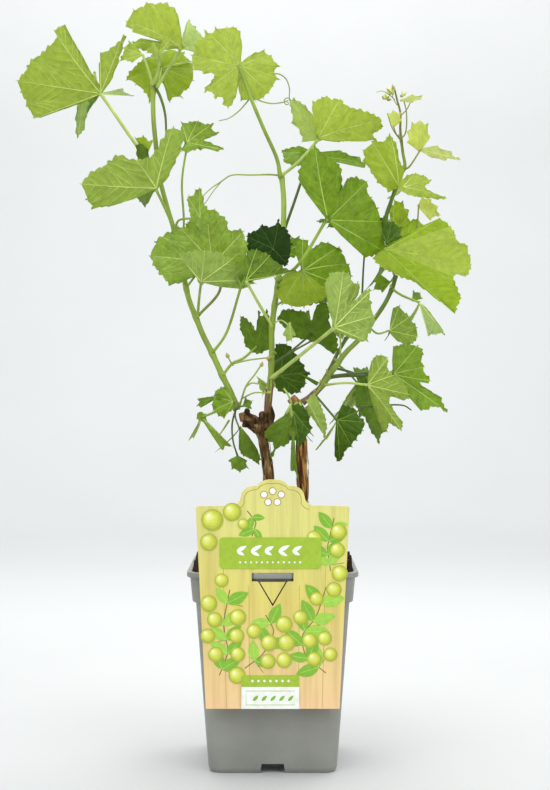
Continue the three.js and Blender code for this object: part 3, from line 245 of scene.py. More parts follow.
LEAVES = [
    leaf("leaf_far_left", [[-104, 3, 533, -122, 5, 557, -160, 10, 612]],
        blade("u_bright", (-160, 10, 612), (0.1, -0.2), 0.1, "106:17 113:22 115:42 117:69 119:69 "
            "122:70 127:70 133:61 138:64 145:65 150:66 154:71 160:72 167:75 172:80 175:76 179:76 "
            "183:73 189:72 192:69 194:68 199:69 201:61 207:23 209:5"),
        blade("u_bright", (-160, 10, 612), (0.1, -0.1), 0.1, "98:10 106:22 114:14"),
        blade("u_bright", (-160, 10, 612), (-0.25, -0.15), 0.1, "46:19 54:33 59:45 62:56 66:57 70:48 "
            "77:42 84:38 90:38 93:27"),
        blade("u_blue", (-160, 10, 612), (0.6, 0.5), 0, "12:29 35:21"),
        blade("u_blue", (-176, 10, 612), (-0.2, -0.35), 0, "232:14 241:23 250:34 256:39 262:33 268:30 "
            "277:19 300:10")),
    leaf("leaf_top_left", [[-106, 0, 614, -96, -5, 628, -82, -12, 645]],
        blade("lime", (-82, -12, 645), (-0.12, -0.2), 0.16, "90:16 94:27 98:34 107:41 115:44 123:48 "
            "127:53 134:54 140:60 145:58 151:62 156:58 159:49"),
        blade("fresh", (-82, -12, 645), (-0.35, 0.2), 0.1, "156:46 161:54 166:50 170:50 175:38 178:28"),
        blade("bloom", (-82, -12, 645), (0.5, 0.2), 0.1, "345:12 353:17 15:21 30:24 38:25 48:25 64:28 "
            "74:28 80:32 84:27 87:15")),
    leaf("leaf_node_back", [[-108, 8, 613, -105, 13, 628, -104, 15, 638]],
        blade("fresh", (-104, 15, 638), (0.15, 0.2), 0.15, "20:30 45:29 75:22 110:18 150:20 168:23 "
            "177:25 187:31 196:34 202:36 206:31 217:31 226:28 236:30 245:31 252:37 258:30"),
        blade("fresh", (-104, 15, 638), (0.3, 0.1), 0.1, "276:18 280:30 283:33 288:30 294:29 302:32 "
            "309:29 320:29 328:31 336:29 345:31 356:29 8:31 20:30")),
    leaf("leaves_node_front", [[-110, -1, 616, -114, -3, 630, -119, -2, 643],
        [-110, -1, 616, -104, -10, 626, -101, -20, 636]],
        blade("lime", (-119, -2, 643), (-0.3, 0.2), 0.1, "130:23 150:23 186:23 215:12"),
        blade("lime", (-101, -20, 636), (-0.4, 0), 0, "118:14 150:13 168:14"),
        blade("lime", (-101, -20, 636), (0.5, 0), 0, "40:12 59:25 78:18")),
    leaf("leaf_left_upper", [[-89, 2, 479, -95, -4, 495, -105, -12, 517]],
        blade("u_fresh", (-105, -12, 518), (0.13, -0.1), 0.1, "44:17 53:30 57:43 61:55 68:58 75:60 "
            "81:54 86:44 93:34 108:29 118:30 127:33 134:42 140:48 150:50 160:55 165:61 172:65 177:70 "
            "182:65 189:66 198:62 201:46")),
    leaf("leaf_left_dark", [[-84, 2, 462, -82, 6, 490, -84, 8, 530, -79, 8, 566]],
        blade("mid", (-79, 8, 566), (0.25, 0.1), 0, "242:12 270:11 313:11 343:14 346:29 350:30 353:34 "
            "357:33 0:28 8:21 12:15 15:22 18:28 23:32 29:27 37:28 41:32 48:27 57:24 67:25 76:22 87:21 "
            "101:19 108:21 116:15 150:14")),
    leaf("leaf_left_small", [[-105, 3, 543, -112, 8, 549, -118, 11, 554]],
        blade("fresh", (-118, 11, 554), (0.1, -0.1), 0.1, "65:17 96:20 121:21")),
    leaf("leaf_left_broad", [[-70, 2, 403, -48, -2, 429, -54, -7, 450]],
        blade("mid", (-54, -7, 450), (0.05, -0.08), 0.1, "206:45 210:36 214:22 267:10 318:20 338:33 "
            "354:33 7:32 21:35 31:38 42:39 48:43 55:42 60:37 66:35 70:41 75:45 84:48 88:52 92:50 96:52 "
            "103:50 106:46 114:45 119:43 127:43 132:49 136:48 144:52 152:56 158:59 166:58 172:61 "
            "175:57 181:56 185:52 191:51 199:46")),
    leaf("leaf_middle_folded", [[0, 0, 394, -11, -8, 412, -24, -20, 434]],
        blade("u_dull", (-24, -20, 434), (0.1, -0.25), 0.1, "4:14 8:26 10:40 12:47 15:42 19:38 24:34 "
            "32:33 38:31 46:32 55:31 62:29 70:30 80:28 88:26 96:18")),
    leaf("leaves_left_pale", [[-69, 0, 403, -67, -9, 418, -64, -18, 433],
        [-55, 0, 371, -43, -6, 387, -28, -14, 431]],
        blade("u_pale", (-64, -18, 433), (0.12, -0.3), 0.1, "352:38 355:44 359:43 3:47 8:42 13:40 "
            "20:39 28:36 36:37 44:33 54:32 63:31 75:29 88:28 100:28 110:29 120:30 128:31 131:24"),
        blade("grass", (-28, -14, 431), (0.1, 0.2), 0, "6:14 40:12 90:20 130:24")),
    leaf("leaf_left_young", [[-90, -1, 483, -84, -14, 490, -65, -16, 490]],
        blade("mid", (-65, -16, 490), (0.2, -0.1), 0, "330:11 0:11 30:12 58:13 74:14 78:19 83:21 86:26 "
            "91:28 96:25 100:26 104:22 112:21 120:22 128:20 136:15 150:12 200:11 270:11")),
    # The centre leaf lies in shadow: the blackish-green tint of its first blade, and the dark veins
    # that go with it, are painted shadow.
    leaf("leaves_middle_shade", [[8, 1, 456, 4, -5, 461, 0, -6, 465]],
        blade("darkest", (0, -6, 465), (-0.15, -0.2), 0, "31:20 47:21 58:22 70:22 78:27 83:22 90:20 "
            "104:21 113:24 120:24 128:22 136:24 146:27 155:28 165:25 174:26 186:24 201:16 231:11 "
            "265:13 293:16 303:20 313:21 322:19 335:18 347:17 9:19"),
        blade("grass", (9, 9, 464), (0.3, 0.1), 0.1, "335:12 0:22 30:26 49:24 62:18")),
    # The lower left part of this leaf is a paler tint: painted light, where it is lit more than its
    # upper part.
    leaf("leaf_middle_broad", [[4, 0, 431, 14, -6, 438, 27, -12, 444]],
        blade("grass", (27, -12, 444), (0.1, -0.15), 0.15, "196:18 206:24 216:30 223:35 231:33 238:37 "
            "245:33 253:35 262:33 273:34 282:31 294:32 303:32 317:38 329:46 336:45 342:48 348:45 "
            "356:47 3:44 10:45 20:41 27:41 34:42 42:36 49:36 59:31 64:25 69:21 79:28 90:30 102:27 "
            "112:20", [(190, 325, "fresh")])),
    leaf("leaf_middle_pale", [[-2, 0, 347, 25, -14, 368, 54, -30, 391]],
        blade("u_pale", (54, -30, 391), (0.15, -0.1), 0.12, "328:19 333:28 339:34 342:32 353:34 4:36 "
            "9:38 17:40 27:38 33:42 41:43 45:49 49:48 52:43 58:23 64:30 66:44 71:48 75:52 77:50 81:52 "
            "87:50 92:50 96:49 100:43 102:40")),
    leaf("leaves_middle_dark", [[-1, 3, 360, 16, 9, 372, 36, 14, 389],
        [52, 3, 350, 61, 12, 372, 68, 17, 386]],
        blade("dark", (36, 14, 390), (0.1, -0.15), 0, "264:9 300:12 312:22 316:29 321:31 330:30 338:28 "
            "349:26 0:24 10:22 25:20 40:23 47:26 54:29 60:31 67:33 75:30 81:26 85:20 89:12 97:12 "
            "103:17 107:21 115:24 122:24 127:28 133:31 140:34 145:36 150:34 155:36 160:35 165:31 "
            "170:27 185:24 196:20 215:12")),
    leaf("leaf_middle_left", [[-46, 0, 350, -37, 1, 361, -27, 4, 366, -15, 8, 377]],
        blade("dark", (-15, 8, 377), (0.15, -0.2), 0, "304:9 346:14 0:16 15:17 30:19 45:20 58:24 65:30 "
            "71:34 75:36 78:30 82:28 85:31 87:33 90:24 95:14 100:16 104:22 108:27 113:30 119:32 124:28 "
            "130:25 137:22 143:17 155:13 166:13 186:11 229:8 270:8")),
    leaf("leaf_middle_drop", [[0, 0, 397, 7, -7, 400, 14, -12, 395]],
        blade("u_pale", (15, -12, 397), (0, 0.2), 0.1, "240:13 260:18 278:18 298:13")),
    leaf("leaves_low_middle", [[-3, 3, 345, 1, 9, 347, 5, 14, 350]],
        blade("deep", (6, 15, 350), (0.2, -0.2), 0, "194:8 263:15 285:18 302:22 315:24 323:27 328:24 "
            "334:26 345:28 351:25 355:26 2:30 8:30 13:25 20:26 26:27 32:24 38:25 44:28 51:26 58:27 "
            "66:30 77:32 84:30 90:31 98:30 104:24 120:14 150:10"),
        blade("dark", (22, 18, 354), (0.1, 0), 0, "325:24 335:26")),
    leaf("leaves_low_small", [[-4, 4, 341, -8, 6, 343, -10, 7, 343]],
        blade("u_pale", (-5, 6, 342), (-0.1, 0.1), 0.1, "144:14 175:10 210:9 247:13")),
    leaf("leaf_base_left", [[-35, 1, 325, -37, -6, 327, -38, -10, 326]],
        blade("grass", (-36, -10, 326), (0.25, 0.1), 0.15, "100:9 108:12 117:16 128:18 139:18 149:20 "
            "157:18 165:20 175:18 188:21 199:19 205:21 215:18 226:20 233:17 243:18 248:12 262:9"),
        blade("dark", (-48, -12, 331), (-0.3, 0.2), 0, "186:21 204:24 212:20")),
    leaf("leaf_base_edge", [[-32, 5, 320, -48, 12, 318, -67, 12, 311]],
        blade("mid", (-67, 12, 312), (0.1, 0.1), 0, "302:38 316:42")),
    leaf("leaves_base_hanging", [[-34, -2, 319, -34, -9, 312, -30, -13, 302],
        [-34, -2, 319, -37, -5, 306, -36, -8, 290, -32, -8, 277],
        [-34, -2, 319, -31, -7, 321, -27, -9, 322]],
        blade("dark", (-29, -13, 303), (0.2, -0.1), 0.1, "258:10 264:20 269:24 274:27 280:28 284:30 "
            "289:33 292:36 296:39 299:35 302:36 305:31 308:26 310:19 312:12"),
        blade("dark", (-32, -8, 277), (-0.2, 0.1), 0.1, "207:10 245:14 278:16 312:16 335:10"),
        blade("dark", (-27, -9, 322), (0, 0), 0, "340:9 30:11 75:9")),
    leaf("leaf_right_trunk_light", [[24, -3, 325, 28, -10, 320, 33, -16, 323]],
        blade("u_pale", (33, -16, 323), (0.25, -0.1), 0.1, "240:6 257:8 280:13 289:20 293:27 296:35 "
            "302:30 309:27 314:24 322:20 330:17 345:13 2:11 22:10 42:10 60:12 72:13 90:9 130:6")),
    # The lower left part of this leaf's first blade is a paler tint: painted light on that part.
    leaf("leaves_right_trunk", [[22, -3, 325, 20, -12, 323, 18, -17, 316]],
        blade("deep", (18, -17, 318), (0.1, -0.1), 0.12, "214:28 216:32 220:34 223:35 231:36 240:36 "
            "243:41 245:47 247:41 250:36 258:34 264:30 271:26 276:30 280:35 286:32 296:30 299:26 "
            "309:27 321:24 326:18 341:18 4:13 28:11 59:8 111:6", [(205, 264, "dark")]),
        blade("u_pale", (16, -19, 324), (0, -0.2), 0, "238:12 243:19 250:22 256:19 264:18 272:19 "
            "277:17 284:10"),
        blade("dark", (18, -15, 300), (0, 0), 0, "266:36 276:44")),
    leaf("leaf_right_low_dark", [[38, 0, 333, 43, -6, 327, 58, -10, 309]],
        blade("deep", (58, -10, 309), (-0.25, -0.1), 0.12, "258:8 262:14 264:25 266:33 270:38 275:39 "
            "279:36 283:33 290:28 296:27 300:29 308:24 315:27 323:23 329:25 339:26 350:25 356:26 6:24 "
            "18:19 25:23 40:19 55:17 73:16")),
    leaf("leaf_right_low_mid", [[56, 4, 357, 70, 12, 354, 83, 15, 350]],
        blade("dark", (84, 16, 351), (0.15, 0.1), 0.1, "236:14 248:22 260:29 267:36 273:44 276:50 "
            "278:56 281:60 284:68 287:61 290:58 294:60 298:54 300:48 306:36 310:24")),
    leaf("leaf_right_low_bright", [[47, 0, 341, 66, -9, 343, 85, -14, 341]],
        blade("u_fresh", (85, -14, 341), (-0.15, -0.12), 0.12, "283:7 285:19 287:35 289:45 293:46 "
            "297:44 300:40 302:44 305:49 307:53 312:50 315:47 317:36 321:30 331:23 336:36 341:40 "
            "347:40 353:36 359:35 6:32 12:30 17:26 31:25 43:24 47:28 54:32 60:30 67:31 75:28 79:25 "
            "81:22")),
    leaf("leaf_right_mid_upper", [[88, 5, 395, 97, 10, 389, 108, 13, 392]],
        blade("mid", (109, 13, 392), (0.2, 0.1), 0.15, "291:6 304:13 315:19 324:23 331:26 340:28 "
            "350:30 357:28 8:29 18:27 25:24 35:26 46:25 57:24 65:27 67:28 73:25 78:23 80:22")),
    leaf("leaf_right_mid_lower", [[51, 1, 349, 68, 0, 351, 88, -1, 352, 110, -2, 351]],
        blade("grass", (110, -2, 351), (-0.1, 0.15), 0.15, "306:42 310:43 313:46 320:47 322:50 325:61 "
            "330:54 335:49 338:33 342:25 344:33 350:36 358:33 5:28 13:30 28:30 32:34 39:37 49:37 65:34 "
            "76:29 84:27 89:26")),
    leaf("leaves_right_hanging", [[110, 3, 429, 118, -3, 423, 133, -7, 416]],
        blade("u_blue", (133, -7, 416), (0.3, 0.1), 0.1, "279:8 285:32 287:32 294:32 299:34 304:34 "
            "309:36 311:39 315:34 318:22 322:15 326:9"),
        blade("dark", (127, -5, 418), (0, 0.2), 0, "10:10 45:12 85:10")),
    leaf("leaf_right_shade", [[112, 6, 442, 110, 10, 438, 108, 12, 436]],
        blade("grass", (109, 12, 437), (0, 0), 0.1, "140:14 170:16 205:18 235:12")),
    # The lower left part of this leaf's first blade is a duller tint, painted shade, and its right part
    # a paler tint, painted light.
    leaf("leaf_right_broad", [[109, 1, 460, 106, -8, 461, 101, -14, 463]],
        blade("bright", (101, -14, 463), (0.1, -0.15), 0.06, "210:11 215:15 233:16 252:17 267:19 "
            "279:21 292:24 300:30 307:34 312:39 315:50 318:69 320:88 323:87 327:85 330:84 332:81 "
            "335:76 338:71 340:68 343:79 345:82 349:83 352:83 355:81 358:81 2:77 4:78 6:74 9:66 12:67 "
            "16:66 20:64 24:62 26:60 28:58 30:58", [(195, 300, "fresh"), (340, 20, "lime")]),
        blade("bright", (102, -6, 464), (0.1, 0.1), 0.05, "20:40 28:45 33:47 37:43 41:44 45:43 49:40 "
            "51:33 54:20")),
    leaf("leaf_right_behind", [[107, 6, 474, 110, 12, 478, 113, 15, 481]],
        blade("olive", (113, 15, 481), (0.1, 0.1), 0.1, "20:14 40:22 57:30 73:37 87:37 98:30")),
    leaf("leaf_right_dark", [[105, 2, 484, 103, -5, 489, 101, -9, 486]],
        blade("deep", (103, -9, 469), (-0.1, -0.1), 0.1, "20:15 45:21 72:21 94:26 110:27 126:17")),
    leaf("leaf_upper_right", [[5, 0, 436, 24, -22, 450, 48, -24, 488]],
        blade("grass", (49, -24, 487), (-0.2, -0.15), 0.1, "66:22 69:36 74:44 78:48 82:51 88:53 92:58 "
            "97:63 100:69 105:64 111:60 117:56 123:51 127:45 129:32"),
        blade("grass", (49, -24, 487), (0.2, -0.15), 0.1, "318:47 323:51 328:54 335:60 341:59 349:54 "
            "356:50 2:51 9:48 16:49 23:46 29:46 35:44 40:48 45:52 51:48 58:47 63:43 66:40 67:28"),
        blade("dark", (50, -24, 487), (0, 0), 0, "172:8 186:12 200:9")),
    leaf("leaf_upper_folded", [[10, 4, 482, 20, 9, 511, 33, 12, 551]],
        blade("grass", (40, 12, 556), (-0.1, 0.3), 0.1, "146:19 155:24 162:29 167:33 172:33 179:31 "
            "186:31 193:32 198:28 206:25 215:20"),
        blade("grass", (28, 12, 556), (0.05, 0.3), 0.1, "349:60 355:63 1:54 9:36")),
    leaf("leaf_upper_crest", [[8, 0, 533, 24, -4, 545, 41, -6, 564]],
        blade("lime", (41, -6, 565), (0.2, -0.3), 0.1, "1:47 3:56 5:55 8:52 10:57 12:61 14:64 19:64 "
            "21:63 23:62 27:58 31:53 37:48 42:42 47:40 55:40 60:41 67:38 79:37 86:35 93:32 102:31 "
            "104:25"),
        blade("bloom", (41, -6, 564), (-0.2, -0.3), 0.1, "104:24 110:32 115:37 120:44 125:44 131:41 "
            "136:35 141:30 147:30 150:22 162:18 186:15")),
    leaf("leaf_tip_upright", [[113, 1, 519, 114, -5, 520, 114, -8, 522]],
        blade("fresh", (114, -8, 521), (0.15, -0.15), 0.15, "70:16 84:21 93:39 97:44 100:49 106:45 "
            "110:42 117:47 122:49 132:45 137:47 140:43 148:40 150:35 159:28 165:23 176:21 187:15 "
            "212:12")),
    leaf("leaf_tip_pointed", [[114, 0, 522, 117, -7, 519, 119, -12, 519]],
        blade("lime", (117, -13, 519), (0.2, -0.1), 0.1, "260:5 300:9 321:14 332:19 339:26 344:35 "
            "348:40 352:43 354:35 358:26 4:21 9:25 14:28 18:29 27:24 33:23 40:19 49:19 58:15 75:12 "
            "107:7 150:6 205:6")),
    leaf("leaf_tip_yellow", [[108, 1, 470, 119, -7, 472, 129, -9, 481, 132, -10, 504]],
        blade("yellow", (131, -10, 503), (0.1, -0.1), 0.1, "312:18 342:24 2:19 30:14 62:10")),
    leaf("leaves_tip_pair", [[120, 1, 539, 124, -2, 540, 135, -3, 556]],
        blade("yellow", (134, -3, 555), (-0.1, -0.2), 0.1, "50:15 72:25 90:28 108:27 128:21 150:14"),
        blade("cream", (134, -3, 556), (0.2, 0.1), 0.1, "325:14 338:26 352:41 3:31 16:18")),
    leaf("leaves_tip_last", [[117, 2, 565, 117, -3, 566], [117, -5, 566, 113, -3, 570, 110, -3, 577],
        [117, -5, 566, 121, -3, 571, 122, -3, 590, 120, -2, 600]],
        blade("yellow", (110, -3, 576), (0, 0), 0.1, "40:11 62:16 90:18 112:15"),
        blade("cream", (117, -2, 601), (0, 0), 0, "345:11 2:19 14:21 28:12")),
    leaf("leaf_top_middle", [[7, 0, 531, 4, -3, 547, -8, -9, 573, -20, -14, 600, -30, -15, 627]],
        blade("lime", (-30, -15, 627), (0.08, -0.12), 0.1, "82:22 87:30 93:33 99:36 104:34 108:37 "
            "116:36 123:41 129:37 135:45 141:40 148:44 157:46 162:42 167:46 173:43 178:45 186:41 "
            "194:33 199:24 205:28 210:37 216:40 222:34 229:36 234:37 240:31 244:37 254:39 260:34 "
            "263:27"),
        blade("lime", (-30, -15, 627), (0.2, -0.12), 0.12, "268:23 272:30 281:29 290:31 302:32 311:35 "
            "317:32 322:35 329:33 335:35 343:34 349:38 353:33 359:32 6:38 12:34 17:32 25:33 29:28 "
            "38:29 44:20 48:12")),
    leaf("leaf_back_right", [[112, 7, 446, 124, 26, 456, 140, 36, 468]],
        blade("dark", (140, 36, 468), (0.3, 0.5), 0.2, "20:30 60:26 100:28 140:26 220:24 250:20 "
            "320:26")),
    leaf("leaf_back_upper", [[105, 6, 490, 86, 22, 498, 62, 34, 505]],
        blade("dark", (62, 34, 505), (0.2, -0.5), 0.2, "20:26 55:24 90:30 125:30 230:16 270:14 "
            "320:24")),
    leaf("leaf_back_left", [[-80, 5, 430, -72, 24, 446, -66, 32, 462]],
        blade("dark", (-66, 32, 462), (-0.4, 0.4), 0.2, "15:30 50:26 88:28 125:30 165:36 215:20 "
            "300:20")),
    leaf("leaf_back_middle", [[2, 5, 414, 20, 26, 426, 36, 34, 438]],
        blade("dark", (36, 34, 438), (0.4, -0.4), 0.2, "10:30 50:26 90:24 170:28 215:26 270:20 "
            "325:28")),
    leaf("leaf_back_low", [[60, 6, 360, 72, 26, 352, 84, 34, 340]],
        blade("dark", (84, 34, 340), (0.4, 0.3), 0.2, "10:28 70:22 110:20 220:12 265:30 290:36 "
            "325:34")),
]

# The stalk of each leaf: radius in mm and tint. The rest take theirs from the leaf's size.
STALKS = {
    "leaf_far_left": (1.49, "stalk_pale"), "leaf_top_left": (1.27, "stalk_pale"),
    "leaves_node_front": (1.10, "stalk_pale"), "leaf_left_upper": (1.27, "stalk_green"),
    "leaf_left_dark": (0.94, "stalk_green"), "leaf_left_broad": (1.19, "stalk_warm"),
    "leaves_left_pale": (1.15, "stalk_green"), "leaf_middle_folded": (1.27, "stalk_pale"),
    "leaf_middle_broad": (1.27, "stalk_green"), "leaf_middle_pale": (1.53, "stalk_pale"),
    "leaves_middle_dark": (0.94, "stalk_dark"), "leaf_middle_left": (1.19, "stalk_green"),
    "leaf_middle_drop": (0.59, "stalk_pale"), "leaf_right_trunk_light": (0.94, "stalk_pale"),
    "leaf_right_low_dark": (0.98, "stalk_dark"), "leaf_right_low_mid": (1.10, "stalk_dark"),
    "leaf_right_low_bright": (1.02, "stalk_pale"), "leaf_right_mid_lower": (1.10, "stalk_dark"),
    "leaves_right_hanging": (1.10, "stalk_green"), "leaf_right_broad": (1.19, "stalk_pale"),
    "leaf_upper_right": (1.36, "stalk_green"), "leaf_upper_folded": (1.19, "stalk_dark"),
    "leaf_upper_crest": (1.36, "stalk_pale"), "leaf_tip_upright": (0.77, "stalk_warm"),
    "leaf_tip_pointed": (0.77, "stalk_warm"), "leaf_tip_yellow": (0.68, "stalk_warm"),
    "leaves_tip_pair": (0.77, "stalk_warm"), "leaves_tip_last": (0.59, "stalk_warm"),
    "leaf_top_middle": (1.61, "stalk_green"), "leaves_base_hanging": (0.77, "stalk_dark"),
    "leaf_base_edge": (1.10, "stalk_green"), "leaf_base_left": (0.94, "stalk_green"),
}
# Tints along each shoot: (up to this share of its length, tint).
SHOOT_TONES = {
    "shoot_left_low": [(0.62, "shoot_green"), (9, "shoot_bright")],
    "shoot_left_high": [(0.75, "shoot_green"), (9, "shoot_bright")],
    "shoot_middle": [(0.1, "shoot_wood"), (0.4, "shoot_green"), (9, "shoot_bright")],
    "shoot_right_low": [(0.12, "shoot_wood"), (0.7, "shoot_green"), (9, "shoot_dark")],
    "shoot_right_high": [(0.42, "shoot_dark"), (0.7, "shoot_green"), (9, "shoot_warm")],
}
# Side twigs and bare stalks: [tint, base radius, tip radius, [x, y, z, ...]].
TWIGS = [
    ["shoot_dark", 1.5, 0.9, [-109, 3, 617, -103, 4, 605, -99, 5, 590, -98, 5, 572]],
    # This twig's dark tint paints the shade it lies in, behind the lower right shoot.
    ["shoot_dark", 1.9, 1.5, [44, 6, 341, 53, 7, 357, 61, 7, 373, 71, 7, 388, 82, 6, 399]],
    ["stalk_dark", 1.0, 0.8, [-1, 4, 356, 5, 5, 363, 20, 6, 373, 36, 6, 382]],
    ["stalk_pale", 0.9, 0.7, [62, 3, 368, 62, 0, 380, 61, -2, 391]],
    ["stalk_dark", 1.1, 0.8, [80, 4, 384, 82, 5, 420, 83, 3, 445, 84, 2, 461]],
    ["stalk_dark", 1.2, 0.9, [49, 3, 347, 62, 8, 349, 84, 12, 350, 100, 10, 352]],
    ["stalk_dark", 1.1, 0.6, [80, -4, 321, 96, -1, 322, 113, 0, 323, 121, 0, 322, 127, 0, 318]],
    ["stalk_green", 1.0, 0.7, [-31, 0, 319, -28, -3, 330, -24, -4, 341, -17, -4, 350, -11, -3, 359]],
    ["stalk_green", 0.8, 0.6, [-28, -3, 329, -17, -5, 334, -5, -5, 334]],
    ["stalk_green", 0.8, 0.6, [-24, -4, 340, -19, -5, 343, -13, -5, 342]],
    ["stalk_green", 0.9, 0.6, [-36, 2, 361, -22, -1, 364, -5, -3, 366]],
    ["stalk_green", 0.8, 0.6, [-36, 1, 359, -39, 0, 363, -41, 0, 367]],
    ["stalk_green", 1.0, 0.5, [-40, 2, 309, -45, 1, 301, -50, 0, 294]],
    ["stalk_pale", 1.1, 0.8, [18, -2, 322, 14, -8, 332, 10, -10, 338]],
    ["shoot_wood", 2.2, 1.8, [-6, 3, 306, -6, 5, 322, -5, 6, 338]],
    ["shoot_dark", 2.0, 1.2, [107, 4, 470, 106, 6, 480, 107, 6, 492]],
    ["stalk_warm", 0.7, 0.5, [112, 1, 521, 106, 0, 530, 103, 0, 541]],
    ["stalk_warm", 0.6, 0.4, [117, 2, 566, 110, 2, 576, 105, 1, 590]],
    ["stalk_warm", 0.6, 0.4, [117, 2, 588, 123, 0, 594, 126, -2, 600]],
]
# Tendrils: [base radius, tip radius, [x, y, z, ...]], and the curls at their ends.
TENDRILS = [
    [0.9, 0.6, [9, 3, 533, 0, 1, 534, -20, -4, 533, -38, -8, 532, -47, -10, 526]],
    [0.6, 0.35, [-46, -10, 527, -54, -12, 517, -60, -13, 508, -65, -14, 502]],
    [0.6, 0.35, [-47, -10, 526, -56, -10, 520, -64, -10, 512, -70, -11, 503]],
    [0.8, 0.4, [-19, -20, 602, -24, -18, 596, -31, -15, 589, -40, -13, 583, -49, -12, 581]],
    [0.8, 0.5, [-19, -20, 603, -14, -19, 599, -2, -16, 596, 8, -15, 597, 14, -14, 599]],
    [0.7, 0.45, [0, -20, 622, 6, -18, 622, 12, -16, 618, 15, -15, 610, 15, -14, 602, 16, -12, 597]],
    [0.5, 0.3, [112, 2, 603, 106, 2, 608, 100, 2, 611, 95, 3, 610]],
    [0.5, 0.3, [114, 2, 598, 110, -2, 604, 109, -4, 610, 111, -5, 614]],
    [0.5, 0.3, [66, -8, 398, 68, -10, 392, 71, -10, 389, 74, -9, 388]],
    [0.5, 0.3, [78, 0, 436, 76, -2, 430, 73, -3, 427, 70, -3, 426]],
]
CURLS = [[16, -14, 599, 1.3, 3.2, 1], [3, -18, 369, 1.2, 3.0, -1]]
# Buds: [x, y, z, heading x, y, z, length, radius].
BUDS = [
    [-11, -3, 358, 0.4, 0, 1, 5, 1.8], [-41, 0, 366, -0.3, 0, 1, 5, 2.0],
    [-6, -3, 365, 1, 0, 0.4, 5, 1.9], [-5, -5, 334, 1, 0, 0.2, 4, 1.6],
    [103, 0, 541, -0.5, 0, 1, 5, 1.3], [126, -2, 600, 0.5, 0, 1, 5, 1.2],
]
# Clusters of unopened leaves: x, y, z, count, spread, length.
TIPS = [[110, 0, 606, 16, 4.5, 6.5], [104, 2, 602, 7, 2.5, 6.0], [119, -1, 604, 4, 2.0, 5.0]]
# The pieces that leaves are joined into, and the leaves of the first two, by how their names start.
LAMINA_NAMES = ("leaves_left", "leaves_right", "leaves_middle", "leaves_far_side")
LEFT_LEAVES = ("leaf_left", "leaves_left", "leaf_far", "leaf_top", "leaf_node", "leaves_node",
               "leaf_base", "leaves_base")
RIGHT_LEAVES = ("leaf_right", "leaves_right", "leaf_tip", "leaves_tip")
# Lumps and stubs of old wood on the left trunk's head: route, base radius, tip radius.
HEAD_KNOBS = [
    [[-11, 1, 296, -6, 1, 304, -3, 2, 312, -3, 2, 323], 4.6, 3.9],
    [[-12, 1, 300, -18, 0, 305, -28, 0, 312], 5.0, 4.6],
    [[-14, 0, 303, -16, -4, 309, -17, -5, 314], 3.8, 2.8],
    [[-21, 0, 308, -23, -3, 315, -24, -3, 320], 3.4, 2.4],
    [[-6, 0, 305, -9, -4, 311, -10, -5, 317], 3.8, 2.6],
    [[-19, 0, 306, -25, -2, 305, -28, -2, 303], 3.0, 2.0],
    [[-12, 0, 299, -7, -3, 303, -1, -4, 307], 3.8, 3.0],
]
# The old wood: radii from the soil up, each [share of the length, radius]; x, y, z of its route;
# bark tints from low to high and the levels between them; height of the ridges; and how much
# paler the right side is, as painted light on the lit side (below 0 the left side is paler).
TRUNKS = {
    "trunk_left": {
        "radii": [[0, 6.9], [0.45, 5.6], [0.62, 5.0], [0.74, 4.5], [0.82, 4.9], [0.9, 5.6], [1, 4.8]],
        "route": [-4, 4, 163, -3, 4, 200, -3, 3, 236, -5, 2, 264, -9, 1, 292, -16, 0, 307,
                  -28, 0, 314],
        "tones": ("bark_dark", "bark_brown", "bark_grey"), "limits": (0.9, 1.03), "relief": 1.1,
        "seed": 3, "lit": -0.07},
    "trunk_right": {
        "radii": [[0, 5.2], [0.4, 4.9], [0.8, 4.7], [0.93, 5.3], [1, 4.4]],
        "route": [29, 8, 163, 28, 8, 200, 28, 7, 236, 27, 5, 264, 26, 3, 295, 24, 1, 318,
                  19, 0, 328],
        "tones": ("bark_red", "bark_tan", "bark_orange"), "limits": (0.88, 0.97), "relief": 0.8,
        "seed": 11, "lit": 0.13},
}
# The cut stub on each trunk: route, and radii along it.
STUBS = [
    ([-24, 0, 312.5, -30.5, -0.6, 311.2], (4.2, 4.4, 4.3, 3.9)),
    ([21, 0, 324.5, 16.5, -0.4, 329.5], (4.4, 4.8, 4.7, 4.4)),
]
# A crumb of soil before it is stretched: a ball of 12 corners and 20 faces.
GOLD = (1 + math.sqrt(5)) / 2
BALL_POINTS = [tuple(value / math.hypot(1, GOLD) for value in corner) for corner in (
    (-1, GOLD, 0), (1, GOLD, 0), (-1, -GOLD, 0), (1, -GOLD, 0), (0, -1, GOLD), (0, 1, GOLD),
    (0, -1, -GOLD), (0, 1, -GOLD), (GOLD, 0, -1), (GOLD, 0, 1), (-GOLD, 0, -1), (-GOLD, 0, 1))]
BALL_FACES = [
    (0, 11, 5), (0, 5, 1), (0, 1, 7), (0, 7, 10), (0, 10, 11), (1, 5, 9), (5, 11, 4), (11, 10, 2),
    (10, 7, 6), (7, 1, 8), (3, 9, 4), (3, 4, 2), (3, 2, 6), (3, 6, 8), (3, 8, 9), (4, 9, 5),
    (2, 4, 11), (6, 2, 10), (8, 6, 7), (9, 8, 1)]
# Heaps of soil: x, y, height, width.
HEAPS = [[70, -28, 15, 18], [70, 8, 15, 24], [66, 45, 12, 28], [-70, -30, 12, 18], [-70, 10, 13, 26],
         [-62, 48, 9, 26], [0, 60, 4, 30]]
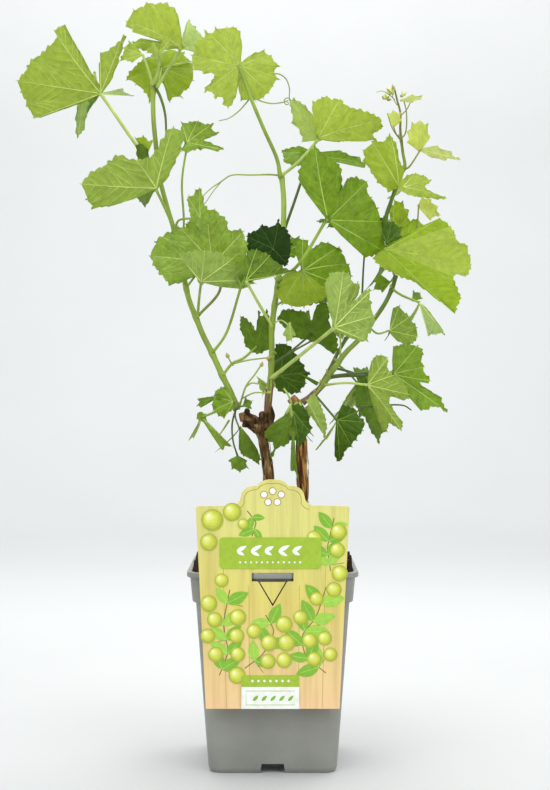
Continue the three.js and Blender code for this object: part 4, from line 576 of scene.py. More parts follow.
# The card's printed sprigs: [path, pairs of leaves, leaf length]; and loose fruits: x, z, radius.
SPRIGS = [
    [[(-22, 232), (-14, 222), (-18, 210)], 2, 13],
    [[(50, 180), (47, 200), (53, 226)], 4, 17],
    [[(-46, 90), (-38, 110), (-43, 134), (-37, 164)], 5, 19],
    [[(46, 92), (28, 106), (24, 124), (38, 140), (46, 166)], 6, 19],
    [[(-24, 96), (-8, 108), (2, 128), (-6, 142)], 3, 17],
]
FRUITS = [
    [-52, 224, 9.5], [-35, 231, 8.0], [-38, 214, 8.0], [-55, 205, 7.5], [57, 214, 7.0],
    [56, 198, 6.6], [58, 178, 7.0], [53, 164, 6.6], [-55, 152, 7.2], [-50, 138, 6.6],
    [-56, 124, 6.4], [-30, 140, 7.2], [-31, 124, 6.6],
    [-49, 108, 6.6], [-30, 108, 6.4], [10, 134, 7.2], [12, 118, 7.4], [-3, 118, 7.2], [-16, 128, 6.4],
    [10, 103, 6.8], [-4, 102, 6.6], [-18, 112, 6.4], [32, 120, 6.6], [45, 122, 6.2], [36, 104, 6.4],
    [24, 140, 6.2], [50, 108, 6.0], [38, 156, 6.0], [-44, 172, 6.0],
]


# ---- materials ----------------------------------------------------------------------
def linear(colour):
    """sRGB 0..255 to the linear values that shaders take."""
    def channel(value):
        v = value / 255
        return v / 12.92 if v <= 0.04045 else ((v + 0.055) / 1.055) ** 2.4
    return tuple(channel(v) for v in colour) + (1.0,)


def shaded(colour, share):
    """An sRGB colour made lighter (share over 1) or darker."""
    return tuple(min(255.0, v * share) for v in colour)


class Shader:
    """A node material around one Principled shader, built by short calls."""

    def __init__(self, name, roughness, specular=0.5):
        self.material = bpy.data.materials.new(name)
        self.material.use_nodes = True
        self.tree = self.material.node_tree
        self.main = self.tree.nodes["Principled BSDF"]
        self.main.inputs["Roughness"].default_value = roughness
        self.main.inputs["Specular IOR Level"].default_value = specular
        self.place = self.tree.nodes.new("ShaderNodeTexCoord").outputs["Object"]

    def link(self, source, target):
        self.tree.links.new(source, target)

    def node(self, kind, **values):
        """A new node, with values for its inputs by name, as in From_Min=0.3."""
        node = self.tree.nodes.new("ShaderNode" + kind)
        for name, value in values.items():
            node.inputs[name.replace("_", " ")].default_value = value
        return node

    def noise(self, scale, detail=3.0, rough=0.5, stretch=None):
        place = self.place
        if stretch:
            mapping = self.node("Mapping", Scale=stretch)
            self.link(place, mapping.inputs["Vector"])
            place = mapping.outputs["Vector"]
        node = self.node("TexNoise", Scale=scale, Detail=detail, Roughness=rough)
        self.link(place, node.inputs["Vector"])
        return node.outputs["Fac"]

    def cells(self, scale):
        """Distance to the nearest border between uneven cells."""
        node = self.node("TexVoronoi", Scale=scale)
        node.feature = "DISTANCE_TO_EDGE"
        self.link(self.place, node.inputs["Vector"])
        return node.outputs["Distance"]

    def ramp(self, source, stops):
        node = self.node("ValToRGB")
        ramp = node.color_ramp
        while len(ramp.elements) < len(stops):
            ramp.elements.new(0.5)
        for element, (position, colour) in zip(ramp.elements, stops):
            element.position = position
            element.color = colour
        self.link(source, node.inputs["Fac"])
        return node.outputs["Color"]

    def spread(self, source, low, high, from_low=0.3, from_high=0.7):
        """A value from one range brought to another; noise lies mostly between 0.3 and 0.7."""
        node = self.node("MapRange", From_Min=from_low, From_Max=from_high, To_Min=low, To_Max=high)
        self.link(source, node.inputs["Value"])
        return node.outputs["Result"]

    def colour(self, source):
        self.link(source, self.main.inputs["Base Color"])

    def mottled(self, source, colour, low, high):
        """A colour that the source makes darker (the share low) and lighter (the share high)."""
        self.colour(self.ramp(source, [(0.32, linear(shaded(colour, low))), (0.5, linear(colour)),
                                       (0.7, linear(shaded(colour, high)))]))

    def roughness(self, source, low, high):
        self.link(self.spread(source, low, high), self.main.inputs["Roughness"])

    def bump(self, source, distance, strength):
        """Relief of a height in metres, on top of the bumps that are there already."""
        node = self.node("Bump", Strength=strength, Distance=distance)
        self.link(source, node.inputs["Height"])
        before = self.main.inputs["Normal"]
        if before.is_linked:
            self.link(before.links[0].from_socket, node.inputs["Normal"])
        self.link(node.outputs["Normal"], before)

    def see_through(self, colour, share):
        """Mixes in the light that comes through a thin leaf."""
        glow = self.node("BsdfTranslucent", Color=linear(colour))
        mix = self.node("MixShader", Fac=share)
        self.link(self.main.outputs["BSDF"], mix.inputs[1])
        self.link(glow.outputs["BSDF"], mix.inputs[2])
        self.link(mix.outputs["Shader"], self.tree.nodes["Material Output"].inputs["Surface"])


def leaf_material(name, colour):
    """Green, uneven in tint, with fine cells and soft dents, and light shining through."""
    under = name.startswith("u_")
    shader = Shader("leaf_" + name, 0.5, 0.3 if under else 0.42)
    low, high = (0.87, 1.1) if colour[1] > PALE_GREEN else (0.78, 1.22)
    shader.mottled(shader.noise(170, 6.0, 0.72), colour, low, high)
    shader.roughness(shader.noise(420, 2.0), 0.5 if under else 0.38, 0.66 if under else 0.56)
    shader.bump(shader.cells(620), 0.0004, 0.35 if under else 0.25)
    shader.bump(shader.noise(300, 3.0), 0.0006, 0.5)
    warm = (min(255, colour[0] * 1.12 + 18), min(255, colour[1] * 1.06 + 14), colour[2] * 0.75)
    shader.see_through(warm, 0.42)
    return shader.material


def stem_material(name, colour):
    shader = Shader(name, 0.45, 0.4)
    shader.mottled(shader.noise(70, 3.0, stretch=(1, 1, 0.25)), colour, 0.88, 1.1)
    shader.bump(shader.noise(900, 2.0, stretch=(1, 1, 0.08)), 0.0004, 0.5)
    return shader.material


def bark_material(name, colour):
    shader = Shader(name, 0.85, 0.2)
    fibre = shader.noise(700, 5.0, 0.65, stretch=(1, 1, 0.09))
    shader.mottled(fibre, colour, 0.7, 1.25)
    shader.bump(fibre, 0.0012, 0.9)
    shader.bump(shader.noise(1500, 3.0), 0.0004, 0.6)
    return shader.material


def soil_material(name, colour):
    shader = Shader(name, 0.95, 0.15)
    shader.mottled(shader.noise(420, 5.0, 0.65), colour, 0.55, 1.6)
    shader.bump(shader.noise(500, 5.0, 0.6), 0.003, 1.0)
    return shader.material


def pot_material(name, colour):
    """Thin moulded plastic with a fine grain and slight waves."""
    shader = Shader(name, 0.42, 0.5)
    shader.mottled(shader.noise(26, 4.0), colour, 0.95, 1.05)
    shader.roughness(shader.noise(60, 3.0), 0.34, 0.52)
    shader.bump(shader.noise(900, 2.0), 0.0002, 0.35)
    shader.bump(shader.noise(14, 2.0), 0.001, 0.5)
    return shader.material


def card_material(name):
    """Printed board: pale wood, warmer below and yellower above, with fine upright grain."""
    shader = Shader(name, 0.38, 0.45)
    axes = shader.node("SeparateXYZ")
    shader.link(shader.place, axes.inputs["Vector"])
    up = shader.spread(axes.outputs["Z"], 0, 1, 0.061, 0.215)
    ground = shader.ramp(up, [(share, linear(colour)) for share, colour in CARD_GROUND])
    grain = shader.ramp(shader.noise(160, 5.0, 0.6, stretch=(1, 1, 0.05)),
                        [(0.35, (0.86, 0.82, 0.78, 1)), (0.6, (1.03, 1.02, 1.0, 1))])
    mix = shader.node("Mix")
    mix.data_type = "RGBA"
    mix.blend_type = "MULTIPLY"
    mix.inputs["Factor"].default_value = 1.0
    shader.link(ground, mix.inputs["A"])
    shader.link(grain, mix.inputs["B"])
    shader.colour(mix.outputs["Result"])
    shader.bump(shader.noise(500, 2.0), 0.0001, 0.3)
    return shader.material


def print_material(name, colour):
    shader = Shader(name, 0.36, 0.45)
    shader.mottled(shader.noise(240, 2.0), colour, 0.97, 1.03)
    return shader.material


def dealt(maker, tints):
    """One material for each tint of a table."""
    return [maker(name, colour) for name, colour in tints.items()]


LEAF_MATERIALS = dealt(leaf_material, TINTS)
STEMS = dealt(stem_material, STEM_TINTS)
BARKS = dealt(bark_material, BARK_TINTS)
POT = pot_material("pot_plastic", POT_TINT)
SOILS = dealt(soil_material, SOIL_TINTS)
CARD_STOCK = card_material("card_stock")
PRINTS = dealt(print_material, PRINT_TINTS)


# ---- meshes -------------------------------------------------------------------------
def add_object(name, mesh):
    piece = bpy.data.objects.new(name, mesh)
    bpy.context.scene.collection.objects.link(piece)
    return piece


def evaluated_mesh(holder):
    """A mesh of what an object looks like with its modifiers, or of a filled curve."""
    bpy.context.view_layer.update()
    graph = bpy.context.evaluated_depsgraph_get()
    return bpy.data.meshes.new_from_object(holder.evaluated_get(graph))


class Bag:
    """Gathers points and faces in mm, and builds them as one mesh in metres."""

    def __init__(self, materials):
        self.materials = list(materials)
        self.slot_of = {material.name: i for i, material in enumerate(self.materials)}
        self.points = []
        self.faces = {3: [], 4: []}
        self.slots = {3: [], 4: []}
        self.count = 0

    def put(self, points):
        """Adds points, and says at which number they start."""
        first = self.count
        self.points.append(np.asarray(points, float))
        self.count += len(points)
        return first

    def cover(self, faces, slot, first):
        """Adds faces: rows of 3 or 4 point numbers counted from `first`.

        slot is a material's name, or one for each face.
        """
        faces = np.asarray(faces, int)
        sides = faces.shape[1]
        names = [slot] * len(faces) if isinstance(slot, str) else slot
        self.faces[sides].append(faces + first)
        self.slots[sides].append(np.array([self.slot_of[n] for n in names], int))

    def add(self, points, faces, slot):
        self.cover(faces, slot, self.put(points))

    def build(self, name, smooth=True):
        mesh = bpy.data.meshes.new(name)
        points = np.concatenate(self.points) * MM
        loops, starts, slots, at = [], [], [], 0
        for sides in (3, 4):
            if not self.faces[sides]:
                continue
            faces = np.concatenate(self.faces[sides])
            loops.append(faces.reshape(-1))
            starts.append(at + sides * np.arange(len(faces)))
            at += faces.size
            slots.append(np.concatenate(self.slots[sides]))
        loops, starts, slots = (np.concatenate(part) for part in (loops, starts, slots))
        mesh.vertices.add(len(points))
        mesh.vertices.foreach_set("co", points.reshape(-1))
        mesh.loops.add(len(loops))
        mesh.loops.foreach_set("vertex_index", loops)
        mesh.polygons.add(len(starts))
        mesh.polygons.foreach_set("loop_start", starts)
        mesh.polygons.foreach_set("material_index", slots)
        mesh.polygons.foreach_set("use_smooth", np.full(len(starts), smooth))
        for material in self.materials:
            mesh.materials.append(material)
        mesh.update(calc_edges=True)
        mesh.validate()
        return add_object(name, mesh)


def smooth_by_angle(piece, degrees):
    """Smooth shading with sharp edges kept where faces meet at more than an angle."""
    mesh = piece.data
    mesh.polygons.foreach_set("use_smooth", np.full(len(mesh.polygons), True))
    mesh.set_sharp_from_angle(angle=math.radians(degrees))


def fan(middle, ring, after):
    """Triangles between a middle point and each neighbouring pair of a ring."""
    return np.stack([np.full(len(ring), middle), ring, after], 1)


def ring_quads(rows, count):
    """Faces between rings of `count` points each that lie one after another."""
    ring = np.arange(count)
    after = (ring + 1) % count
    base = np.arange(rows - 1)[:, None] * count
    quads = np.stack([base + ring, base + after, base + count + after, base + count + ring], -1)
    return quads.reshape(-1, 4)


def skin(bag, rings, ends, slot):
    """A closed surface over rings of points, with a fan round a middle point at each end.

    slot is a material's name, or a function of faces and points that names one for each.
    """
    rows, count = rings.shape[:2]
    quads = ring_quads(rows, count)
    cap = slot
    if not isinstance(slot, str):
        cap = slot(quads[:1], rings)[0]
        slot = slot(quads, rings)
    first = bag.put(np.vstack([rings.reshape(-1, 3), ends]))
    bag.cover(quads, slot, first)
    ring = np.arange(count)
    after = (ring + 1) % count
    low, top = rows * count, (rows - 1) * count
    bag.cover(fan(low, after, ring), cap, first)
    bag.cover(fan(low + 1, top + ring, top + after), cap, first)


def along_of(points):
    """The length of a path up to each of its points."""
    steps = np.linalg.norm(np.diff(points, axis=0), axis=1)
    return np.concatenate([[0], np.cumsum(steps)])


def between(at, along, points):
    """The places `at` some lengths on a path whose points lie at the lengths `along`."""
    return np.stack([np.interp(at, along, points[:, k]) for k in range(points.shape[1])], -1)


def route(flat, steps):
    """Points at even steps along the smooth curve through a flat list of x, y, z."""
    knots = np.array(flat, float).reshape(-1, 3)
    if len(knots) == 2:
        dense = np.linspace(knots[0], knots[1], 50)
    else:
        ends = np.vstack([2 * knots[0] - knots[1], knots, 2 * knots[-1] - knots[-2]])
        dense = [knots[:1]]
        t = np.linspace(0, 1, 25)[1:, None]
        for i in range(len(knots) - 1):
            p0, p1, p2, p3 = ends[i:i + 4]
            d0, d1, d2 = (max(1e-4, np.linalg.norm(b - a)) ** 0.5
                          for a, b in ((p0, p1), (p1, p2), (p2, p3)))
            leave = ((p1 - p0) / d0 - (p2 - p0) / (d0 + d1) + (p2 - p1) / d1) * d1
            reach = ((p2 - p1) / d1 - (p3 - p1) / (d1 + d2) + (p3 - p2) / d2) * d1
            dense.append(p1 + leave * t + (3 * (p2 - p1) - 2 * leave - reach) * t ** 2
                         + (2 * (p1 - p2) + leave + reach) * t ** 3)
        dense = np.vstack(dense)
    along = along_of(dense)
    return between(np.linspace(0, along[-1], steps + 1), along, dense)


def frames(path):
    """Two square directions at each point of a path, without twist."""
    tangent = np.gradient(path, axis=0)
    tangent /= np.maximum(np.linalg.norm(tangent, axis=1), 1e-9)[:, None]
    guide = np.array([0.0, 0.0, 1.0]) if abs(tangent[0][1]) > 0.8 else np.array([0.0, 1.0, 0.0])
    side = np.cross(guide, tangent[0])
    sides = []
    for step in tangent:
        side = side - step * side.dot(step)
        side = side / max(np.linalg.norm(side), 1e-9)
        sides.append(side)
    sides = np.array(sides)
    return sides, np.cross(tangent, sides)


def tube(bag, path, radii, sides, slot, relief=None):
    """A closed tube along a path. relief(points, t, angle) gives each ring point's extra radius."""
    path = np.asarray(path, float)
    count = len(path)
    across, up = frames(path)
    angle = np.arange(sides) * 2 * math.pi / sides
    spokes = (across[:, None, :] * np.cos(angle)[None, :, None]
              + up[:, None, :] * np.sin(angle)[None, :, None])
    reach = np.repeat(np.asarray(radii, float)[:, None], sides, 1)
    if relief is not None:
        reach = reach + relief(path[:, None, :] + spokes * reach[..., None],
                               np.linspace(0, 1, count)[:, None], angle[None, :])
    skin(bag, path[:, None, :] + spokes * reach[..., None], [path[0], path[-1]], slot)


def strand(bag, flat, per_point, radii, sides, tone, flare=0.0):
    """A tube along a flat list of x, y, z, from one radius to another.

    per_point: steps to each listed point. flare: how much thicker it is at both ends, as a share.
    """
    steps = per_point * (len(flat) // 3)
    t = np.linspace(0, 1, steps + 1)
    ends = np.exp(-(t / FLARE_SPAN) ** 2) + np.exp(-((1 - t) / FLARE_SPAN) ** 2)
    base, tip = radii
    tube(bag, route(flat, steps), (base + (tip - base) * t) * (1 + flare * ends), sides, tone)


# ---- leaves -------------------------------------------------------------------------
def turned(angle):
    return (angle % 360 + 360) % 360


def reach_at(lobes, bearing):
    """The reach of a blade's even outline at a bearing, as in the solid model."""
    for i, (start, near) in enumerate(lobes):
        stop, far = lobes[(i + 1) % len(lobes)]
        span, past = turned(stop - start), turned(bearing - start)
        if past > span:
            continue
        if span > OPEN_SPAN:
            short = OPEN_REACH * min(near, far)
            if past < EDGE_FALL:
                return near + (short - near) * (past / EDGE_FALL)
            if span - past < EDGE_FALL:
                return far + (short - far) * ((span - past) / EDGE_FALL)
            return short
        whole, one, other = (math.radians(a) for a in (span, past, span - past))
        chord = near * far * math.sin(whole) / (near * math.sin(one) + far * math.sin(other))
        t = past / span
        bulge = 1 + (span / OPEN_SPAN) * LOBE_BULGE * t * (1 - t)
        notch = LOBE_NOTCH * min(1.0, span / NOTCH_SPAN)
        return chord * bulge * (1 - notch * math.sin(math.pi * t) ** 4)
    return lobes[0][1]


def polar(reach, bearing):
    angle = math.radians(bearing)
    return np.array([reach * math.cos(angle), reach * math.sin(angle)])


def furthest_of(lobes):
    return max(reach for _, reach in lobes)


def margin(lobes, rng):
    """A blade's margin, anticlockwise, as even points and toothed points, four to a tooth."""
    even, toothed = [], []
    small = min(1.0, TOOTH_SIZE[0] + furthest_of(lobes) / TOOTH_SIZE[1])
    minor = MINOR_TOOTH * TOOTH_HEIGHT * small
    for i, (start, near) in enumerate(lobes):
        stop, far = lobes[(i + 1) % len(lobes)]
        span = turned(stop - start)
        bearings = start + np.linspace(0, span, LOBE_SAMPLES)
        line = np.array([polar(max(LEAST_REACH, reach_at(lobes, b)), b) for b in bearings])
        along = along_of(line)
        is_open = span > OPEN_SPAN
        pitch = (OPEN_TOOTH if is_open else 1.0) * TOOTH_LENGTH * small
        teeth = max(1, round(along[-1] / pitch))
        cuts = np.arange(teeth + 1, dtype=float)
        cuts[1:-1] += [rng.uniform(-TOOTH_SHIFT, TOOTH_SHIFT) for _ in range(teeth - 1)]
        cuts *= along[-1] / teeth
        set_back = [minor if k % 2 and k < teeth else 0.0 for k in range(teeth + 1)]
        forward = far >= near
        valley = 0.7 if forward else 0.3
        for k in range(teeth):
            height = 0.0 if is_open else TOOTH_HEIGHT * small * rng.uniform(*TOOTH_HEIGHTS)
            height = min(height, TOOTH_STEEPEST * (cuts[k + 1] - cuts[k]))
            for u in (0.0, valley * 0.5, valley, 0.5 + valley * 0.5):
                s = cuts[k] + (cuts[k + 1] - cuts[k]) * u
                here = between(s, along, line)
                run = between(s + 0.5, along, line) - between(s - 0.5, along, line)
                run = run / max(np.linalg.norm(run), 1e-6)
                inward = np.array([-run[1], run[0]])
                share = u / valley if u <= valley else (1 - u) / (1 - valley)
                hollow = TOOTH_HOLLOW[0 if (u <= valley) == forward else 1]
                dip = height * (share ** hollow + (BLUNT if u == 0 else 0))
                if not is_open:
                    dip += set_back[k] + (set_back[k + 1] - set_back[k]) * u
                even.append(here)
                toothed.append(here + inward * dip)
    return np.array(even), np.array(toothed)


def main_bearings(lobes):
    """Where the main veins go: to the tips that stand out, and to the middle of wide gaps."""
    least = TIP_LEAST * furthest_of(lobes)
    spans = [turned(after - here) for (here, _), (after, _) in zip(lobes, lobes[1:] + lobes[:1])]
    tips = []
    for i, (bearing, r) in enumerate(lobes):
        before = lobes[i - 1][1] if spans[i - 1] <= OPEN_SPAN else 0
        after = lobes[(i + 1) % len(lobes)][1] if spans[i] <= OPEN_SPAN else 0
        if r >= before and r >= after and r > least:
            tips.append((r, bearing))
    chosen = []
    for r, bearing in sorted(tips, reverse=True):
        if all(min(turned(bearing - b), turned(b - bearing)) > VEIN_APART for b, _ in chosen):
            chosen.append((bearing, r))
    chosen.sort(key=lambda pair: turned(pair[0] - lobes[0][0]))
    full = list(chosen)
    for (b0, _), (b1, _) in zip(chosen, chosen[1:]):
        gap = turned(b1 - b0)
        if gap > VEIN_GAP:
            middle = b0 + gap / 2
            full.append((middle, reach_at(lobes, middle)))
    return full


def branch_vein(point, heading, side, line, others, lobes):
    """A vein that curls outward from its main vein, up to the margin or near another main vein."""
    path = [point]
    for _ in range(BRANCH_LONGEST):
        heading -= side * math.radians(BRANCH_CURL)
        point = point + BRANCH_STEP * np.array([math.cos(heading), math.sin(heading)])
        bearing = math.degrees(math.atan2(point[1], point[0]))
        if np.linalg.norm(point) > BRANCH_REACH * reach_at(lobes, bearing):
            break
        home = np.min(np.linalg.norm(line - point, axis=1))
        away = min((np.min(np.linalg.norm(o - point, axis=1)) for o in others), default=1e9)
        if away < BRANCH_SHARE * home or (home > 2 and away < BRANCH_CLEAR):
            break
        path.append(point)
    return np.array(path)


def vein_lines(lobes, rng):
    """Main veins and the veins that branch from them, as lines of flat points."""
    mains, branches = [], []
    for bearing, r in main_bearings(lobes):
        bend = rng.uniform(-VEIN_BEND, VEIN_BEND)
        mains.append(np.array([polar(VEIN_REACH * r * k, bearing + bend * (1 - k))
                               for k in np.linspace(0, 1, VEIN_STEPS + 1)]))
    gap = BRANCH_GAP[0] + BRANCH_GAP[1] * furthest_of(lobes)
    for own, line in enumerate(mains):
        others = mains[:own] + mains[own + 1:]
        steps = max(2, int(np.linalg.norm(line[-1]) / gap))
        run = line[-1] - line[0]
        for k in range(1, steps):
            for side in (-1, 1):
                t = (k + 0.25 * side + rng.uniform(-0.2, 0.2)) / steps
                if t < 0.1:
                    continue
                point = between(t * VEIN_STEPS, range(VEIN_STEPS + 1), line)
                heading = math.atan2(run[1], run[0]) + side * math.radians(rng.uniform(*BRANCH_ANGLE))
                path = branch_vein(point, heading, side, line, others, lobes)
                if len(path) > 3:
                    branches.append(path)
    return mains, branches


def distance_to(lines, points):
    """Distance of flat points to the nearest of some lines."""
    best = np.full(len(points), 1e9)
    for line in lines:
        for a, b in zip(line[:-1], line[1:]):
            run = b - a
            t = np.clip(((points - a) @ run) / max(run @ run, 1e-9), 0, 1)
            best = np.minimum(best, np.linalg.norm(points - a - t[:, None] * run, axis=1))
    return best


class Blade:
    """One blade's shape: where any flat point of it lies in the room."""

    def __init__(self, row, rng):
        self.row = row
        self.reach = furthest_of(row["lobes"])
        self.side = 1 if row["tone"].startswith("u_") else -1
        self.mains, self.branches = vein_lines(row["lobes"], rng)
        self.waves = [(rng.choice(counts), rng.uniform(0, TURN), rng.uniform(low, high))
                      for counts, low, high in (((3, 4, 5), 0.5, 1), ((6, 7, 8), 0.3, 0.5))]

    def depth(self, points, quilt):
        row, reach = self.row, self.reach
        across, up = points[:, 0], points[:, 1]
        far = np.hypot(across, up) / reach
        y = LEAF_DEPTH * (row["at"][1] + row["lean"][0] * across + row["lean"][1] * up
                          + row["cup"] * far ** 2 * reach)
        angle = np.arctan2(up, across)
        for count, phase, share in self.waves:
            y = y + WAVE_HEIGHT * share * reach * far ** 2 * np.sin(count * angle + phase)
        to_main = distance_to(self.mains, points)
        arch = 1 - np.exp(-(to_main / (ARCH_WIDTH * reach)) ** 2)
        y = y + self.side * ARCH_HEIGHT * reach * arch
        if quilt:
            to_vein = np.minimum(to_main, distance_to(self.branches, points))
            size = min(1.0, reach / QUILT_REACH)
            y = y + self.side * QUILT_HEIGHT * size * (1 - np.exp(-(to_vein / QUILT_WIDTH) ** 2))
        return y

    def place(self, points, lift, quilt=True):
        """Where flat points of the blade are, `lift` mm in front of its middle surface."""
        at = self.row["at"]
        foot = LEAF_DEPTH * at[1]
        across, deep = points[:, 0], self.depth(points, quilt) - foot - lift
        turn = math.radians(self.row.get("turn", 0))
        return np.stack([at[0] + across * math.cos(turn) - deep * math.sin(turn),
                         foot + across * math.sin(turn) + deep * math.cos(turn),
                         at[2] + points[:, 1]], 1)


def stitch(inner, outer):
    """Faces between two rings of point numbers: quads, or triangles where the count doubles."""
    after = np.roll(inner, -1)
    if len(outer) == len(inner):
        return np.stack([inner, outer, np.roll(outer, -1), after], 1)
    even, odd, next_even = outer[::2], outer[1::2], np.roll(outer[::2], -1)
    three = np.stack([inner, even, odd, inner, odd, after, after, odd, next_even], 1)
    return three.reshape(-1, 3)


def tone_at(row, points):
    """The front tint at places on a blade, with the parts' tints that paint light and shade."""
    tones = []
    for x, z in points:
        bearing = math.degrees(math.atan2(z, x))
        tone = row["tone"]
        for start, stop, other in row["parts"]:
            if turned(bearing - start) < turned(stop - start):
                tone = other
        tones.append(tone)
    return tones


def grow_lamina(bag, shape, even, toothed):
    """A closed thin lamina in rings that get finer outward and take on the teeth near the margin."""
    row = shape.row
    flat, members, total = [np.zeros((1, 2))], [], 1
    rings = max(5, round(shape.reach / CELL))
    for k in range(1, rings + 1):
        far = k / rings
        every = 4 if far < 0.26 else 2 if far < 0.56 else 1
        edge = max(0.0, (far - MARGIN_BAND) / (1 - MARGIN_BAND))
        flat.append((even + (toothed - even) * edge)[::every] * far)
        members.append(total + np.arange(len(flat[-1])))
        total += len(flat[-1])
    points = np.vstack(flat)
    quads, triangles = [], [fan(0, members[0], np.roll(members[0], -1))]
    for inner, outer in zip(members, members[1:]):
        faces = stitch(inner, outer)
        (quads if faces.shape[1] == 4 else triangles).append(faces)
    first = bag.put(np.vstack([shape.place(points, lift)
                               for lift in (LEAF_THICKNESS / 2, -LEAF_THICKNESS / 2)]))
    for faces in (np.vstack(quads), np.vstack(triangles)):
        tones = tone_at(row, points[faces].mean(1))
        bag.cover(faces, ["leaf_" + tone for tone in tones], first)
        bag.cover(faces[:, ::-1] + total, ["leaf_" + BACK_OF[tone] for tone in tones], first)
    rim = members[-1]
    after = np.roll(rim, -1)
    bag.cover(np.stack([rim, rim + total, after + total, after], 1), "leaf_" + row["tone"], first)


def grow_blade(bag, veins, row, rng):
    """A lamina with teeth and relief, and its veins."""
    shape = Blade(row, rng)
    grow_lamina(bag, shape, *margin(row["lobes"], rng))
    vein = VEIN_OF.get(row["tone"], "vein_light")
    least, full_size = VEIN_SIZE
    size = least + (1 - least) * min(1.0, shape.reach / full_size)
    for line in shape.mains:
        radii = np.linspace(*MAIN_VEIN, len(line)) * size
        tube(veins, shape.place(line, VEIN_LIFT, False), radii, 5, vein)
    for line in shape.branches:
        keep = line[::2] if len(line) > 4 else line
        radii = np.linspace(*BRANCH_VEIN, len(keep)) * size
        tube(veins, shape.place(keep, VEIN_LIFT, False), radii, 4, BRANCH_OF.get(row["tone"], vein))


def deepened(flat):
    """A stalk's route, which leaves the shoot as listed and ends at its leaf's full depth."""
    points = np.array(flat, float).reshape(-1, 3)
    points[:, 1] *= 1 + (LEAF_DEPTH - 1) * np.arange(len(points)) / (len(points) - 1)
    return points.reshape(-1)


def behind(points, away):
    """Points moved back along the lines of sight, so that they stay hidden in the front view."""
    points = np.asarray(points, float)
    lines = points - CAMERA
    return points + lines * (np.asarray(away) / lines[..., 1])[..., None]


def backing(row, rng):
    """The blade and stalk of a leaf that is turned away on the far side, behind a large leaf."""
    host = row["blades"][0]
    at = np.array(host["at"], float)
    at[1] *= LEAF_DEPTH
    size = rng.uniform(*BACKING_SIZE)
    lobes = [[bearing, reach * size] for bearing, reach in host["lobes"]]
    places = np.array([polar(reach, bearing) for bearing, reach in lobes])
    furthest = max(abs(places[:, 0]))
    lowest = max(-places[:, 1])
    turn, tilt = rng.uniform(*BACKING_TURN), rng.uniform(*BACKING_TILT)
    room = BACKING_LIMIT - at[1] - furthest * math.sin(math.radians(turn))
    tilt = min(tilt, max(0.1, (room - BACKING_ROOM) / (LEAF_DEPTH * max(lowest, 1))))
    away = min(rng.uniform(*BACKING_DEPTH), room - LEAF_DEPTH * tilt * lowest)
    if away < BACKING_LEAST:
        return None
    foot = behind(at, away)
    stalk = deepened(row["stalks"][0]).reshape(-1, 3)
    stalk = behind(stalk, away * np.linspace(0, 1, len(stalk)))
    blade_row = {"at": [foot[0], foot[1] / LEAF_DEPTH, foot[2]], "lobes": lobes, "parts": (),
                 "lean": [rng.uniform(-0.15, 0.15), -tilt], "cup": rng.uniform(0.05, 0.2),
                 "tone": rng.choice(("mid", "grass", "u_fresh", "dark")),
                 "turn": turn if np.mean(places[:, 0]) > 0 else -turn}
    return blade_row, stalk.reshape(-1)


def side_of(name):
    """Which joined piece a leaf is in, as a number into LAMINA_NAMES."""
    return 0 if name.startswith(LEFT_LEAVES) else 1 if name.startswith(RIGHT_LEAVES) else 2


def grow_leaves():
    """The laminas, in joined pieces, their veins, and their stalks."""
    laminas = [Bag(LEAF_MATERIALS) for _ in LAMINA_NAMES]
    veins, stalks = Bag(STEMS), Bag(STEMS)
    for number, row in enumerate(LEAVES):
        rng = random.Random(SEED + number)
        for blade_row in row["blades"]:
            grow_blade(laminas[side_of(row["name"])], veins, blade_row, rng)
        reach = max(furthest_of(blade_row["lobes"]) for blade_row in row["blades"])
        by_size = (STALK_RADIUS[0] + STALK_RADIUS[1] * reach, "stalk_green")
        thick, tone = STALKS.get(row["name"], by_size)
        for flat in row["stalks"]:
            strand(stalks, deepened(flat), 6, (thick * 1.12, thick), 10, tone, STALK_FLARE)
        rear = backing(row, rng) if reach >= BACKING_REACH and row["stalks"] else None
        if rear:
            grow_blade(laminas[-1], veins, rear[0], rng)
            strand(stalks, rear[1], 6, (thick, 0.85 * thick), 10, tone, STALK_FLARE)
    pieces = [bag.build(name) for bag, name in zip(laminas, LAMINA_NAMES)]
    for piece in pieces:
        smooth_by_angle(piece, 55)
    return pieces, veins.build("leaf_veins"), stalks.build("leaf_stalks")


# ---- shoots, twigs and tendrils -----------------------------------------------------
def bud(bag, at, heading, length, radius, slot):
    """A pointed bud: a short tube that swells and closes to a point."""
    heading = np.array(heading, float) / np.linalg.norm(heading)
    t = np.linspace(0, 1, 7)
    path = np.array(at, float) + heading * (t[:, None] * length)
    tube(bag, path, radius * np.array([0.55, 0.9, 1.0, 0.92, 0.7, 0.4, 0.08]), 7, slot)


def joints_on(path):
    """Where stalks leave a shoot, as point numbers along its path."""
    found = set()
    for row in LEAVES:
        for flat in row["stalks"]:
            away = np.linalg.norm(path - np.array(flat[:3], float), axis=1)
            if away.min() < JOINT_NEAR:
                found.add(int(away.argmin()))
    return sorted(found)


